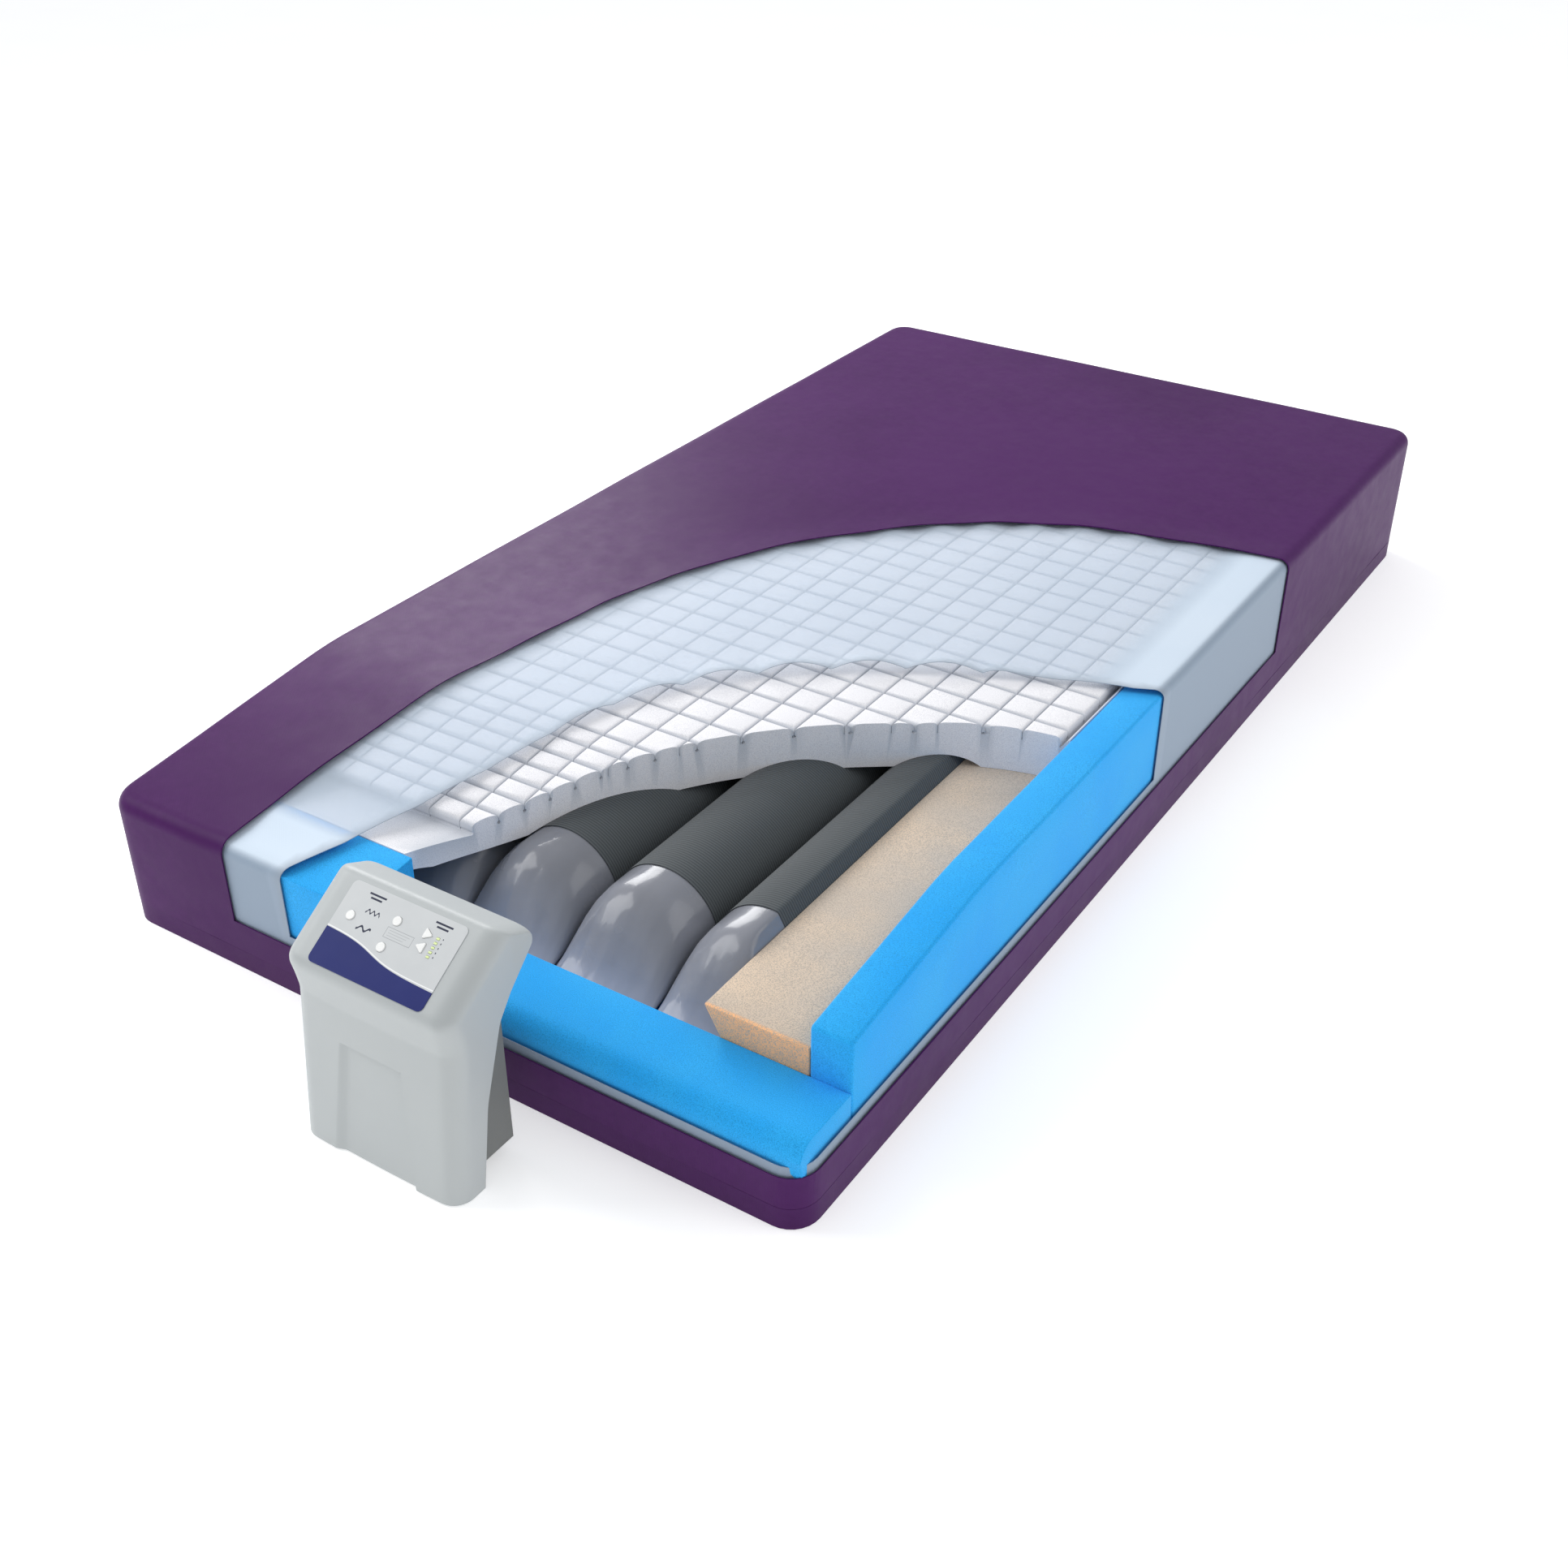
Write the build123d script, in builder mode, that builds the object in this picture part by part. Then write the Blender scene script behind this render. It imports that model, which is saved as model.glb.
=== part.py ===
from build123d import *
import math
import os

# Pressure relief mattress with its air control unit. The mattress is opened in layers at the
# foot end. X runs across, +Y to the head, +Z up; the origin is the centre of its underside.

# Mattress outside
mattress_length = 2032.0
mattress_width = 1067.0
head_height = 235.0
foot_height = 189.0
heel_length = 400.0  # the top slopes down over this much of the foot end
heel_blend = 600.0
corner_radius = 38.0
edge_radius = 18.0

# Layers, from the outside in
cover_wall = 2.0
cover_gap = 2.0
liner_wall = 1.5
liner_gap = 2.5
foam_drop = 4.0  # how much lower the foam lies under the liner's top
lay_gap = 0.3  # between pieces that lie on each other
lip_height = 30.0  # where the bottom cover meets the top cover

# Foam crib
base_thickness = 16.9
rail_depth = 104.0
bolster_width = 55.0
wedge_top_width = 141.5
wedge_foot_width = 66.5
wedge_below_crown = 18.0
low_rail_height = 119.0  # the foot rail where it is cut down
low_rail_round = 26.0

# Air cylinders
cylinder_count = 5
cylinder_gap = 0.6
wedge_reach = 21.0  # from the outer cylinder's centre line to the wedge's top corner
sleeve_wall = 0.8
bladder_wall = 1.0
bladder_end_gap = 11.0
bladder_end_round = 48.0
flat_corner_round = 24.0
flat_end_round = 20.0
bare_length = 170.0  # bladder left bare of its sleeve at the foot
sleeve_head_gap = 18.0

# Openings that show the layers, as (across from the centre, along from the foot end)
cover_floor = 75.0
liner_floor = 88.0
cover_cut_foot = -320.0
cover_cut = [(-320, 165), (-290, 500), (-222, 853), (-65, 1124), (165, 1308), (408, 1375)]
cover_cut_side = 1400.0
liner_cut_foot = -232.0
liner_cut = [(-190, 86), (-116, 321), (-71, 493), (7, 619), (143, 741), (325, 842)]
liner_cut_side = 932.0
topper_cut_foot = -140.0
topper_cut = [(-121, 98), (-60, 239), (15, 396), (114, 536), (287, 679), (380, 731)]
topper_cut_side = 760.0
rail_cut_foot = -104.0

# Air lines under the cylinders
header_radius = 4.5
header_bore = 3.0
header_groove = 11.0
header_from_foot = [201.0, 228.0]  # zone A joins cylinders 1, 3 and 5; zone B joins 2 and 4
nipple_radius = 2.9
nipple_clearance = 0.2
port_radius = 6.0
port_length = 14.0
port_plate_size = (52.0, 17.0, 2.0)

# Zip along the left side
zip_foot_gap = 276.0
zip_head_gap = 70.0
tape_height = 10.0
tape_wall = 0.8
chain_height = 4.0
chain_wall = 1.2
slider_size = (5.6, 11.0, 9.0)
slider_clearance = 0.3
slider_slot = 3.4
eye_depth = 1.5
pull_size = (1.2, 5.0, 20.0)

# Control unit: its middle and its front bottom edge
unit_x = 80.0
unit_clear_of_mattress = 174.0
unit_width = 240.0
unit_wall = 3.0
unit_lift = 2.0
unit_side_round = 11.0
back_inset = 14.0
back_floor = 20.0
back_depth = 112.0
window_inset = 11.0
label_size = (164.0, 102.0)
label_wall = 0.8
label_round = 7.0
button_radius = 5.5
button_travel = 0.8
button_proud = 1.4
button_clearance = 0.3
arrow_radius = 8.0
button_flange = 1.2
round_buttons = {
    "alternate_button": (-62.0, 12.0),
    "static_button": (-4.0, 26.5),
    "lockout_button": (-5.0, -6.0),
}
arrow_buttons = {"firmer_button": (38.5, 27.0, 90.0), "softer_button": (40.0, 11.5, -90.0)}
led_count = 5
led_size = (4.0, 2.4)
led_x = 53.5
led_top = 27.0
led_pitch = 5.5
board_size = (150.0, 84.0, 1.6)
board_depth = 14.0
post_radius = 3.0
arrow_corner = 1.4
stem_radius = 2.0
switch_size = 6.0
switch_height = 3.5
switch_gap = 1.0
running_gap = 0.05

# Control unit, inside and behind
window_top = 214.0
hook_pivot_height = 204.0
hook_pivot_out = 8.0
hook_spread = 60.0
hook_width = 14.0
hook_side_gap = 0.3
hook_bar = 4.0
hook_reach = 40.0
hook_tip = 14.0
hook_tip_height = 7.0
hook_pin_radius = 2.0
barrel_radius = 4.5
ear_wall = 4.0
screw_radius = 1.5
screw_heights = (34.0, 182.0)
inlet_size = (27.0, 20.0, 18.0)
inlet_flange = (40.0, 27.0, 2.0)
inlet_pin_length = 10.0
switch_frame = (17.0, 25.0)
rocker_size = (11.0, 18.0, 8.0)
rocker_gap = 0.7
rocker_tilt = 7.0
filter_x = unit_x - 60.0
filter_z = 100.0
filter_radius = 17.0
outlet_alongs = (68.0, 92.0)
outlet_z = 48.0
outlet_radius = 5.0
outlet_length = 14.0
outlet_tube_radius = 3.5
tray_wall = 2.0
compressor_size = (92.0, 64.0, 60.0)
compressor_offset = 30.0
compressor_along = 56.0
compressor_mount_height = 12.0
mount_inset = 9.0
mount_radius = 6.0
valve_offset = -70.0
valve_size = (36.0, 42.0, 34.0)
rotor_radius = 13.0
rotor_height = 4.0
shaft_radius = 2.0
shaft_length = 12.0
motor_radius = 20.0
motor_height = 20.0

foot_end = -mattress_length / 2
head_end = mattress_length / 2
half_width = mattress_width / 2
foam_inset = cover_wall + cover_gap + liner_wall + liner_gap
liner_bottom = cover_wall + lay_gap
foam_bottom = liner_bottom + liner_wall + lay_gap
base_top = foam_bottom + base_thickness
foam_half_width = half_width - foam_inset
crib_half_width = foam_half_width - bolster_width
crib_foot = foot_end + foam_inset + rail_depth
crib_head = head_end - foam_inset - rail_depth
cylinder_pitch = 2 * (crib_half_width - wedge_top_width - wedge_reach) / (cylinder_count - 1)
sleeve_radius = (cylinder_pitch - cylinder_gap) / 2
bladder_radius = sleeve_radius - sleeve_wall - lay_gap
cylinder_z = base_top + lay_gap + sleeve_radius
wedge_top = cylinder_z + sleeve_radius - wedge_below_crown
cylinder_xs = [cylinder_pitch * (n - (cylinder_count - 1) / 2) for n in range(cylinder_count)]


def keep(builder, name):
    """Labels a finished piece and writes it."""
    builder.part.label = name
    export_step(builder.part, f"parts/{name}.step")


def envelope(inset, floor, drop=0.0):
    """The mattress's form moved in by inset, standing on floor."""
    half_length = mattress_length / 2 - inset
    top = head_height - inset - drop
    foot_top = foot_height - inset - drop
    heel = foot_end + heel_length
    outline = [(-half_length, floor), (half_length, floor), (half_length, top)]
    outline += [(heel, top), (-half_length, foot_top)]
    with BuildPart() as form:
        with BuildSketch(Plane.YZ) as side:
            with BuildLine():
                Polyline(outline, close=True)
            make_face()
            fillet(side.vertices().sort_by_distance((heel, top, 0))[0], heel_blend)
        extrude(amount=half_width - inset, both=True)
        fillet(form.edges().filter_by(Axis.Z), corner_radius - inset)
        tops = form.faces().filter_by(lambda face: face.normal_at().Z > 0.5)
        rim = [edge for edge in form.edges() if sum(edge in face.edges() for face in tops) == 1]
        fillet(rim, edge_radius - inset)
    return form.part


def opening(foot_x, curve, side_along, floor):
    """The space taken out of a layer, from a curve to the right side and the foot end."""
    reach = half_width + edge_radius
    beyond = foot_end - edge_radius
    points = [(foot_x, beyond)]
    points += [(across, foot_end + along) for across, along in curve]
    points.append((reach, foot_end + side_along))
    with BuildPart() as space:
        with BuildSketch(Plane.XY.offset(floor)):
            with BuildLine():
                Spline(points)
                Polyline(points[-1], (reach, beyond), points[0])
            make_face()
        extrude(amount=head_height)
    return space.part


def slab(x_from, x_to, y_from, y_to, z_from, z_to):
    """A plain box between its limits, for cutting and for common parts."""
    size = (x_to - x_from, y_to - y_from, z_to - z_from)
    centre = ((x_from + x_to) / 2, (y_from + y_to) / 2, (z_from + z_to) / 2)
    return Pos(*centre) * Box(*size, mode=Mode.PRIVATE)


cover_space = opening(cover_cut_foot, cover_cut, cover_cut_side, cover_floor)
liner_space = opening(liner_cut_foot, liner_cut, liner_cut_side, liner_floor)
topper_space = opening(topper_cut_foot, topper_cut, topper_cut_side, base_top)
outer_form = envelope(0, 0)
cover_inner = envelope(cover_wall, cover_wall)
far = mattress_length

# Air lines: where the two zones cross under the cylinders
header_ys = [foot_end + along for along in header_from_foot]
header_z = base_top - header_radius - 2.0
zones = [cylinder_xs[0::2], cylinder_xs[1::2]]
port_half = port_plate_size[0] / 2
port_y = sum(header_ys) / 2

# Bottom cover: a tray with a low lip, open round the two air ports
with BuildPart() as cover_base:
    add(outer_form)
    add(cover_inner, mode=Mode.SUBTRACT)
    add(slab(-far, far, -far, far, lip_height, far), mode=Mode.SUBTRACT)
    with Locations(*[(-half_width, y, header_z) for y in header_ys]):
        Cylinder(header_radius + 0.5, 30, rotation=(0, 90, 0), mode=Mode.SUBTRACT)
keep(cover_base, "cover_base")

# Top cover: stretch fabric shell, zipped to the bottom cover
with BuildPart() as cover_top:
    add(outer_form)
    add(cover_inner, mode=Mode.SUBTRACT)
    add(slab(-far, far, -far, far, -far, lip_height + lay_gap), mode=Mode.SUBTRACT)
    add(cover_space, mode=Mode.SUBTRACT)
keep(cover_top, "cover_top")

# Fire barrier liner: a closed sock round the foam
liner_outer = envelope(cover_wall + cover_gap, liner_bottom)
liner_inner = envelope(cover_wall + cover_gap + liner_wall, liner_bottom + liner_wall)
with BuildPart() as liner:
    add(liner_outer)
    add(liner_inner, mode=Mode.SUBTRACT)
    add(liner_space, mode=Mode.SUBTRACT)
    with Locations(*[(-half_width, y, header_z) for y in header_ys]):
        Cylinder(header_radius + 0.5, 30, rotation=(0, 90, 0), mode=Mode.SUBTRACT)
keep(liner, "liner")

# Foam crib
foam_core = envelope(foam_inset, base_top + lay_gap, foam_drop)

with BuildPart() as base_foam:
    with BuildSketch(Plane.XY.offset(foam_bottom)):
        length = mattress_length - 2 * foam_inset
        RectangleRounded(2 * foam_half_width, length, corner_radius - foam_inset)
    extrude(amount=base_thickness)
    for y, xs in zip(header_ys, zones):
        groove_end = xs[-1] + header_groove
        groove_bottom = header_z - header_radius - 0.5
        half = header_groove / 2
        add(slab(-far, groove_end, y - half, y + half, groove_bottom, far), mode=Mode.SUBTRACT)
keep(base_foam, "base_foam")

with BuildPart() as bolster_right:
    add(foam_core)
    inner = crib_half_width
    box = slab(inner, far, crib_foot + lay_gap, crib_head - lay_gap, 0, far)
    add(box, mode=Mode.INTERSECT)
keep(bolster_right, "bolster_right")

with BuildPart() as bolster_left:
    mirror(bolster_right.part, about=Plane.YZ)
keep(bolster_left, "bolster_left")

with BuildPart() as head_rail:
    add(foam_core)
    add(slab(-far, far, crib_head, far, 0, far), mode=Mode.INTERSECT)
keep(head_rail, "head_rail")

with BuildPart() as foot_rail:
    add(foam_core)
    add(slab(-far, far, -far, crib_foot, 0, far), mode=Mode.INTERSECT)
    front = foot_end + foam_inset
    with BuildSketch(Plane.YZ.offset(rail_cut_foot)):
        with BuildLine():
            start = (front, low_rail_height - low_rail_round)
            arc = TangentArc(start, (front + low_rail_round, low_rail_height), tangent=(0, 1))
            beyond = [(crib_foot + 1, low_rail_height), (crib_foot + 1, head_height)]
            beyond += [(front - 1, head_height), (front - 1, start[1])]
            Polyline(arc @ 1, *beyond, start)
        make_face()
    extrude(amount=mattress_width, mode=Mode.SUBTRACT)
keep(foot_rail, "foot_rail")

wedge_floor = base_top + lay_gap
wedge_outside = crib_half_width - lay_gap
wedge_inside = crib_half_width - wedge_top_width
with BuildPart() as wedge_right:
    with BuildSketch(Plane.XZ.offset(-(crib_foot + 2 * lay_gap))):
        with BuildLine():
            low_inside = crib_half_width - wedge_foot_width
            outline = [(wedge_inside, wedge_top), (wedge_outside, wedge_top)]
            outline += [(wedge_outside, wedge_floor), (low_inside, wedge_floor)]
            Polyline(outline, close=True)
        make_face()
    extrude(amount=-(crib_head - crib_foot - 4 * lay_gap))
keep(wedge_right, "wedge_right")

with BuildPart() as wedge_left:
    mirror(wedge_right.part, about=Plane.YZ)
keep(wedge_left, "wedge_left")

# Die-cut topper: its underside is shaped by the five cylinders and rests on the wedges
with BuildPart() as topper_foam:
    add(foam_core)
    side = crib_half_width - lay_gap
    ends = (crib_foot + lay_gap, crib_head - lay_gap)
    add(slab(-side, side, *ends, wedge_top + lay_gap, far), mode=Mode.INTERSECT)
    with Locations(*[(x, 0, cylinder_z) for x in cylinder_xs]):
        Cylinder(sleeve_radius + lay_gap, far, rotation=(90, 0, 0), mode=Mode.SUBTRACT)
    add(topper_space, mode=Mode.SUBTRACT)
keep(topper_foam, "topper_foam")


def section(radius, flat):
    """A cylinder's section: round, or flattened by a wedge on its +X (1) or -X (-1) side."""
    with BuildSketch() as shape:
        Circle(radius)
        if flat:
            slack = lay_gap + sleeve_radius - radius
            top = Vector(wedge_inside, wedge_top)
            low = Vector(crib_half_width - wedge_foot_width, wedge_floor)
            centre = Vector(cylinder_xs[-1], cylinder_z)
            along = (low - top).normalized()
            normal = Vector(-along.Y, along.X)
            distance = (top - centre).dot(normal) - slack
            angle = math.degrees(math.atan2(normal.Y, normal.X))
            beyond = Rectangle(2 * radius, 4 * radius, mode=Mode.PRIVATE)
            far_side = Rot(0, 0, angle) * Pos(distance + radius, 0) * beyond
            add(far_side, mode=Mode.SUBTRACT)
            fillet(shape.vertices(), flat_corner_round - slack)
            if flat < 0:
                mirror(about=Plane.YZ, mode=Mode.REPLACE)
    return shape.sketch


def tube_solid(shape, x, y_from, y_to, end_round=0.0):
    """A solid along Y with the given section, its ends rounded."""
    with BuildPart() as body:
        with BuildSketch(Plane(origin=(x, y_from, cylinder_z), x_dir=(1, 0, 0), z_dir=(0, -1, 0))):
            add(shape)
        extrude(amount=-(y_to - y_from))
        if end_round:
            fillet(body.faces().filter_by(Axis.Y).edges(), end_round)
    return body.part


bladder_foot = crib_foot + bladder_end_gap
bladder_head = crib_head - bladder_end_gap
for number, x in enumerate(cylinder_xs, start=1):
    flat = {1: -1, cylinder_count: 1}.get(number, 0)
    zone = 0 if x in zones[0] else 1
    nipple_y = header_ys[zone]
    end_round = flat_end_round if flat else bladder_end_round
    sleeve_start = crib_foot + bare_length
    sleeve_end = crib_head - sleeve_head_gap

    skin = tube_solid(section(bladder_radius, flat), x, bladder_foot, bladder_head, end_round)
    ends = (bladder_foot + bladder_wall, bladder_head - bladder_wall)
    air = tube_solid(section(bladder_radius - bladder_wall, flat), x, *ends, end_round - bladder_wall)
    with BuildPart() as bladder:
        add(skin)
        add(air, mode=Mode.SUBTRACT)
        with Locations((x, nipple_y, cylinder_z - bladder_radius)):
            Cylinder(nipple_radius + nipple_clearance, 20, mode=Mode.SUBTRACT)
    keep(bladder, f"bladder_{number}")

    knit = tube_solid(section(sleeve_radius, flat), x, sleeve_start, sleeve_end)
    ends = (sleeve_start - 1, sleeve_end + 1)
    inside = tube_solid(section(sleeve_radius - sleeve_wall, flat), x, *ends)
    with BuildPart() as sleeve:
        add(knit)
        add(inside, mode=Mode.SUBTRACT)
    keep(sleeve, f"sleeve_{number}")

# One air header for each zone: a tube in the base foam's groove, with a nipple into each bladder
nipple_top = cylinder_z - bladder_radius + bladder_wall + 3.0
for letter, y, xs in zip("ab", header_ys, zones):
    start = -half_width + port_plate_size[2]
    end = xs[-1] + header_radius
    with BuildPart() as header:
        with BuildSketch(Plane.YZ.offset(start)):
            with Locations((y, header_z)):
                Circle(header_radius)
        extrude(amount=end - start)
        with BuildSketch(Plane.XY.offset(header_z)):
            with Locations(*[(x, y) for x in xs]):
                Circle(nipple_radius)
        extrude(amount=nipple_top - header_z)
        with BuildSketch(Plane.YZ.offset(start)):
            with Locations((y, header_z)):
                Circle(header_bore)
        extrude(amount=end - start - 1.5, mode=Mode.SUBTRACT)
        with BuildSketch(Plane.XY.offset(header_z)):
            with Locations(*[(x, y) for x in xs]):
                Circle(nipple_radius - 1.0)
        extrude(amount=nipple_top - header_z, mode=Mode.SUBTRACT)
    keep(header, f"air_header_{letter}")

# Port plate on the left side, where the air hoses push on
with BuildPart() as air_port_plate:
    plate_face = -half_width - lay_gap
    with BuildSketch(Plane.YZ.offset(plate_face)):
        with Locations((port_y, header_z)):
            RectangleRounded(port_plate_size[0], port_plate_size[1], 4)
    extrude(amount=-port_plate_size[2])
    with BuildSketch(Plane.YZ.offset(plate_face - port_plate_size[2])):
        with Locations(*[(y, header_z) for y in header_ys]):
            Circle(port_radius)
    extrude(amount=-port_length)
    with BuildSketch(Plane.YZ.offset(plate_face)):
        with Locations(*[(y, header_z) for y in header_ys]):
            Circle(header_radius - 0.5)
    extrude(amount=-far, mode=Mode.SUBTRACT)
keep(air_port_plate, "air_port_plate")

# Zip: a woven tape with a raised chain, a slider that rides on it and a hanging pull
zip_start = foot_end + zip_foot_gap
zip_stop = head_end - zip_head_gap
zip_z = lip_height
tape_x = -half_width - lay_gap
chain_x = tape_x - tape_wall
with BuildPart() as zip_tape:
    low = zip_z - tape_height / 2
    add(slab(chain_x, tape_x, zip_start, zip_stop, low, low + tape_height))
    low = zip_z - chain_height / 2
    add(slab(chain_x - chain_wall, chain_x, zip_start, zip_stop, low, low + chain_height))
keep(zip_tape, "zip_tape")

slider_y = zip_stop - slider_size[1]
slider_face = chain_x - slider_clearance
slider_front = slider_face - slider_size[0]
eye_x = slider_front + eye_depth
eye_z = zip_z + slider_size[2] / 2 - 1.8
with BuildPart() as zip_slider:
    half_length = slider_size[1] / 2
    half_height = slider_size[2] / 2
    ys = (slider_y - half_length, slider_y + half_length)
    add(slab(slider_front, slider_face, *ys, zip_z - half_height, zip_z + half_height))
    fillet(zip_slider.edges().filter_by(Axis.X), 2)
    channel = chain_height / 2 + slider_clearance
    depth = chain_wall + slider_clearance
    chain_way = slab(chain_x - depth, far, -far, far, zip_z - channel, zip_z + channel)
    add(chain_way, mode=Mode.SUBTRACT)
    slot = pull_size[1] / 2 + slider_clearance
    slot_back = slider_front + slider_slot
    add(slab(-far, slot_back, slider_y - slot, slider_y + slot, -far, far), mode=Mode.SUBTRACT)
    with Locations((eye_x, slider_y, eye_z)):
        Cylinder(0.7, 2 * slot + 1, rotation=(90, 0, 0))
keep(zip_slider, "zip_slider")

with BuildPart() as zip_pull:
    with BuildSketch(Plane.YZ.offset(eye_x - pull_size[0] / 2)):
        with Locations((slider_y, eye_z + 1.6 - pull_size[2] / 2)):
            RectangleRounded(pull_size[1], pull_size[2], 1.4)
    extrude(amount=pull_size[0])
    with Locations((eye_x, slider_y, eye_z)):
        Cylinder(1.6, pull_size[1], rotation=(90, 0, 0))
        Cylinder(1.0, 2 * pull_size[1], rotation=(90, 0, 0), mode=Mode.SUBTRACT)
keep(zip_pull, "zip_pull")

# Control unit. Its profile is drawn in YZ from the front bottom edge.
unit_front = foot_end - unit_clear_of_mattress
front_line = [(0, unit_lift), (22, 200), (14, 248), (114, 312), (163, 316), (163, 292)]
rear_line = [(117, 232), (96, 204), (64, 109), (46, unit_lift)]
profile_rounds = {1: 30, 2: 18, 3: 20, 4: 15, 5: 4, 6: 20, 7: 40, 8: 100}
panel_low = Vector(0, front_line[2][0] + unit_front, front_line[2][1])
panel_high = Vector(0, front_line[3][0] + unit_front, front_line[3][1])
slope = (panel_high - panel_low).normalized()
panel_normal = Vector(0, -slope.Z, slope.Y)
panel_origin = (panel_low + panel_high) / 2 + Vector(unit_x, 0, 0)
panel = Plane(origin=panel_origin, x_dir=(1, 0, 0), z_dir=panel_normal)


def unit_profile(inset):
    """The front shell's side profile, moved in by inset."""
    corners = [(unit_front + along, up) for along, up in front_line + rear_line]
    with BuildSketch() as shape:
        with BuildLine():
            Polyline(corners, close=True)
        make_face()
        for index, radius in profile_rounds.items():
            fillet(shape.vertices().sort_by_distance((*corners[index], 0))[0], radius)
        if inset:
            offset(amount=-inset, kind=Kind.INTERSECTION, mode=Mode.REPLACE)
    return shape.sketch


def unit_solid(inset):
    """The front shell's form moved in by inset, with soft front and side edges."""
    half = unit_width / 2 - inset
    profile = unit_profile(inset)
    with BuildPart() as form:
        with BuildSketch(Plane.YZ.offset(unit_x - half)):
            add(profile)
        extrude(amount=2 * half)
        sides = form.faces().filter_by(Axis.X).edges()

        def in_front(edge):
            middle = edge.center()
            along = middle.Y - unit_front
            up = middle.Z
            on_bottom = up < unit_lift + inset + 0.5
            on_panel = up > 0.64 * (along - 14) + 240 - 2 * inset
            return (along < 35 and not on_bottom) or on_panel or up > 300 - inset

        fillet(sides.filter_by(in_front), unit_side_round - inset)
    return form.part


back_half = unit_width / 2 - back_inset
back_face = unit_front + back_depth
window_half = back_half - window_inset
led_places = [(led_x, led_top - n * led_pitch) for n in range(led_count)]
stem_end = board_depth - switch_height - switch_gap
post_places = [(x * 67.0, y * 36.0) for x in (-1, 1) for y in (-1, 1)]


def round_outline(extra):
    """The round buttons' outlines, larger all round by extra."""
    with BuildSketch() as shape:
        with Locations(*round_buttons.values()):
            Circle(button_radius + extra)
    return shape.sketch


def arrow_outline(extra):
    """The arrow buttons' outlines, larger all round by extra."""
    with BuildSketch() as shape:
        for x, y, turn in arrow_buttons.values():
            with Locations((x, y)):
                RegularPolygon(arrow_radius + 2 * extra, 3, rotation=turn - 90)
        fillet(shape.vertices(), arrow_corner + extra)
    return shape.sketch


unit_form = unit_solid(0)
unit_hollow = unit_solid(unit_wall)
round_holes = round_outline(button_clearance)
arrow_holes = arrow_outline(button_clearance)
with BuildPart() as front_shell:
    add(unit_form)
    add(unit_hollow, mode=Mode.SUBTRACT)
    rear_y = unit_front + rear_line[-1][0] - unit_wall - 1
    add(slab(unit_x - window_half, unit_x + window_half, rear_y, back_face,
             back_floor + unit_wall, window_top), mode=Mode.SUBTRACT)
    with BuildSketch(panel.offset(-board_depth)):
        with Locations(*post_places):
            Circle(post_radius)
    extrude(amount=board_depth - 0.5 * unit_wall)
    with BuildSketch(panel.offset(-1.5 * unit_wall)):
        add(round_holes)
        add(arrow_holes)
        with Locations(*led_places):
            Rectangle(led_size[0] + 2 * lay_gap, led_size[1] + 2 * lay_gap)
    extrude(amount=3 * unit_wall, mode=Mode.SUBTRACT)
keep(front_shell, "front_shell")

# Back shell: a box screwed behind the front shell, following its rear edge
hook_z = hook_pivot_height
hook_y = back_face + hook_pivot_out
hook_xs = {"hook_left": unit_x - hook_spread, "hook_right": unit_x + hook_spread}
ear_half = hook_width / 2 + hook_side_gap
screw_places = [(unit_x + side * (back_half - 9.0), z) for side in (-1, 1) for z in screw_heights]
tip_z = hook_z - hook_reach
inlet_x = unit_x - 24.0
switch_x = unit_x + 30.0
service_z = 52.0
with BuildPart() as back_shell:
    add(slab(unit_x - back_half, unit_x + back_half, unit_front + 30, back_face, back_floor, 240))
    add(unit_form, mode=Mode.SUBTRACT)
    inside = back_half - unit_wall
    inside_back = back_face - unit_wall
    floor = back_floor + unit_wall
    add(slab(unit_x - inside, unit_x + inside, unit_front, inside_back, floor, 240), mode=Mode.SUBTRACT)
    for hook_x in hook_xs.values():
        for side in (-1, 1):
            with BuildSketch(Plane.YZ.offset(hook_x + side * (ear_half + ear_wall / 2))):
                with Locations((back_face + hook_pivot_out / 2, hook_z)):
                    Rectangle(hook_pivot_out, 2 * barrel_radius)
                with Locations((hook_y, hook_z)):
                    Circle(barrel_radius)
                    Circle(hook_pin_radius, mode=Mode.SUBTRACT)
            extrude(amount=ear_wall / 2, both=True)
        slot = hook_width / 2 + 1
        add(slab(hook_x - slot, hook_x + slot, back_face - 5, back_face + 1,
                 tip_z - hook_tip_height, tip_z + hook_tip_height), mode=Mode.SUBTRACT)
    with BuildSketch(Plane.XZ.offset(-inside_back)):
        with Locations(*screw_places):
            Circle(4.0)
    extrude(amount=8)
    with BuildSketch(Plane.XZ.offset(-back_face - 1)):
        with Locations(*screw_places):
            Circle(screw_radius + 0.1)
        with Locations((inlet_x, service_z)):
            Rectangle(inlet_size[0] + 2 * lay_gap, inlet_size[1] + 2 * lay_gap)
        with Locations((switch_x, service_z)):
            Rectangle(switch_frame[0] + 2 * lay_gap, switch_frame[1] + 2 * lay_gap)
        with Locations((filter_x, filter_z)):
            Circle(filter_radius - 4)
    extrude(amount=16, mode=Mode.SUBTRACT)
    with BuildSketch(Plane.YZ.offset(unit_x - back_half - 1)):
        with Locations(*[(unit_front + along, outlet_z) for along in outlet_alongs]):
            Circle(outlet_tube_radius + lay_gap)
    extrude(amount=6, mode=Mode.SUBTRACT)
keep(back_shell, "back_shell")

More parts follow.
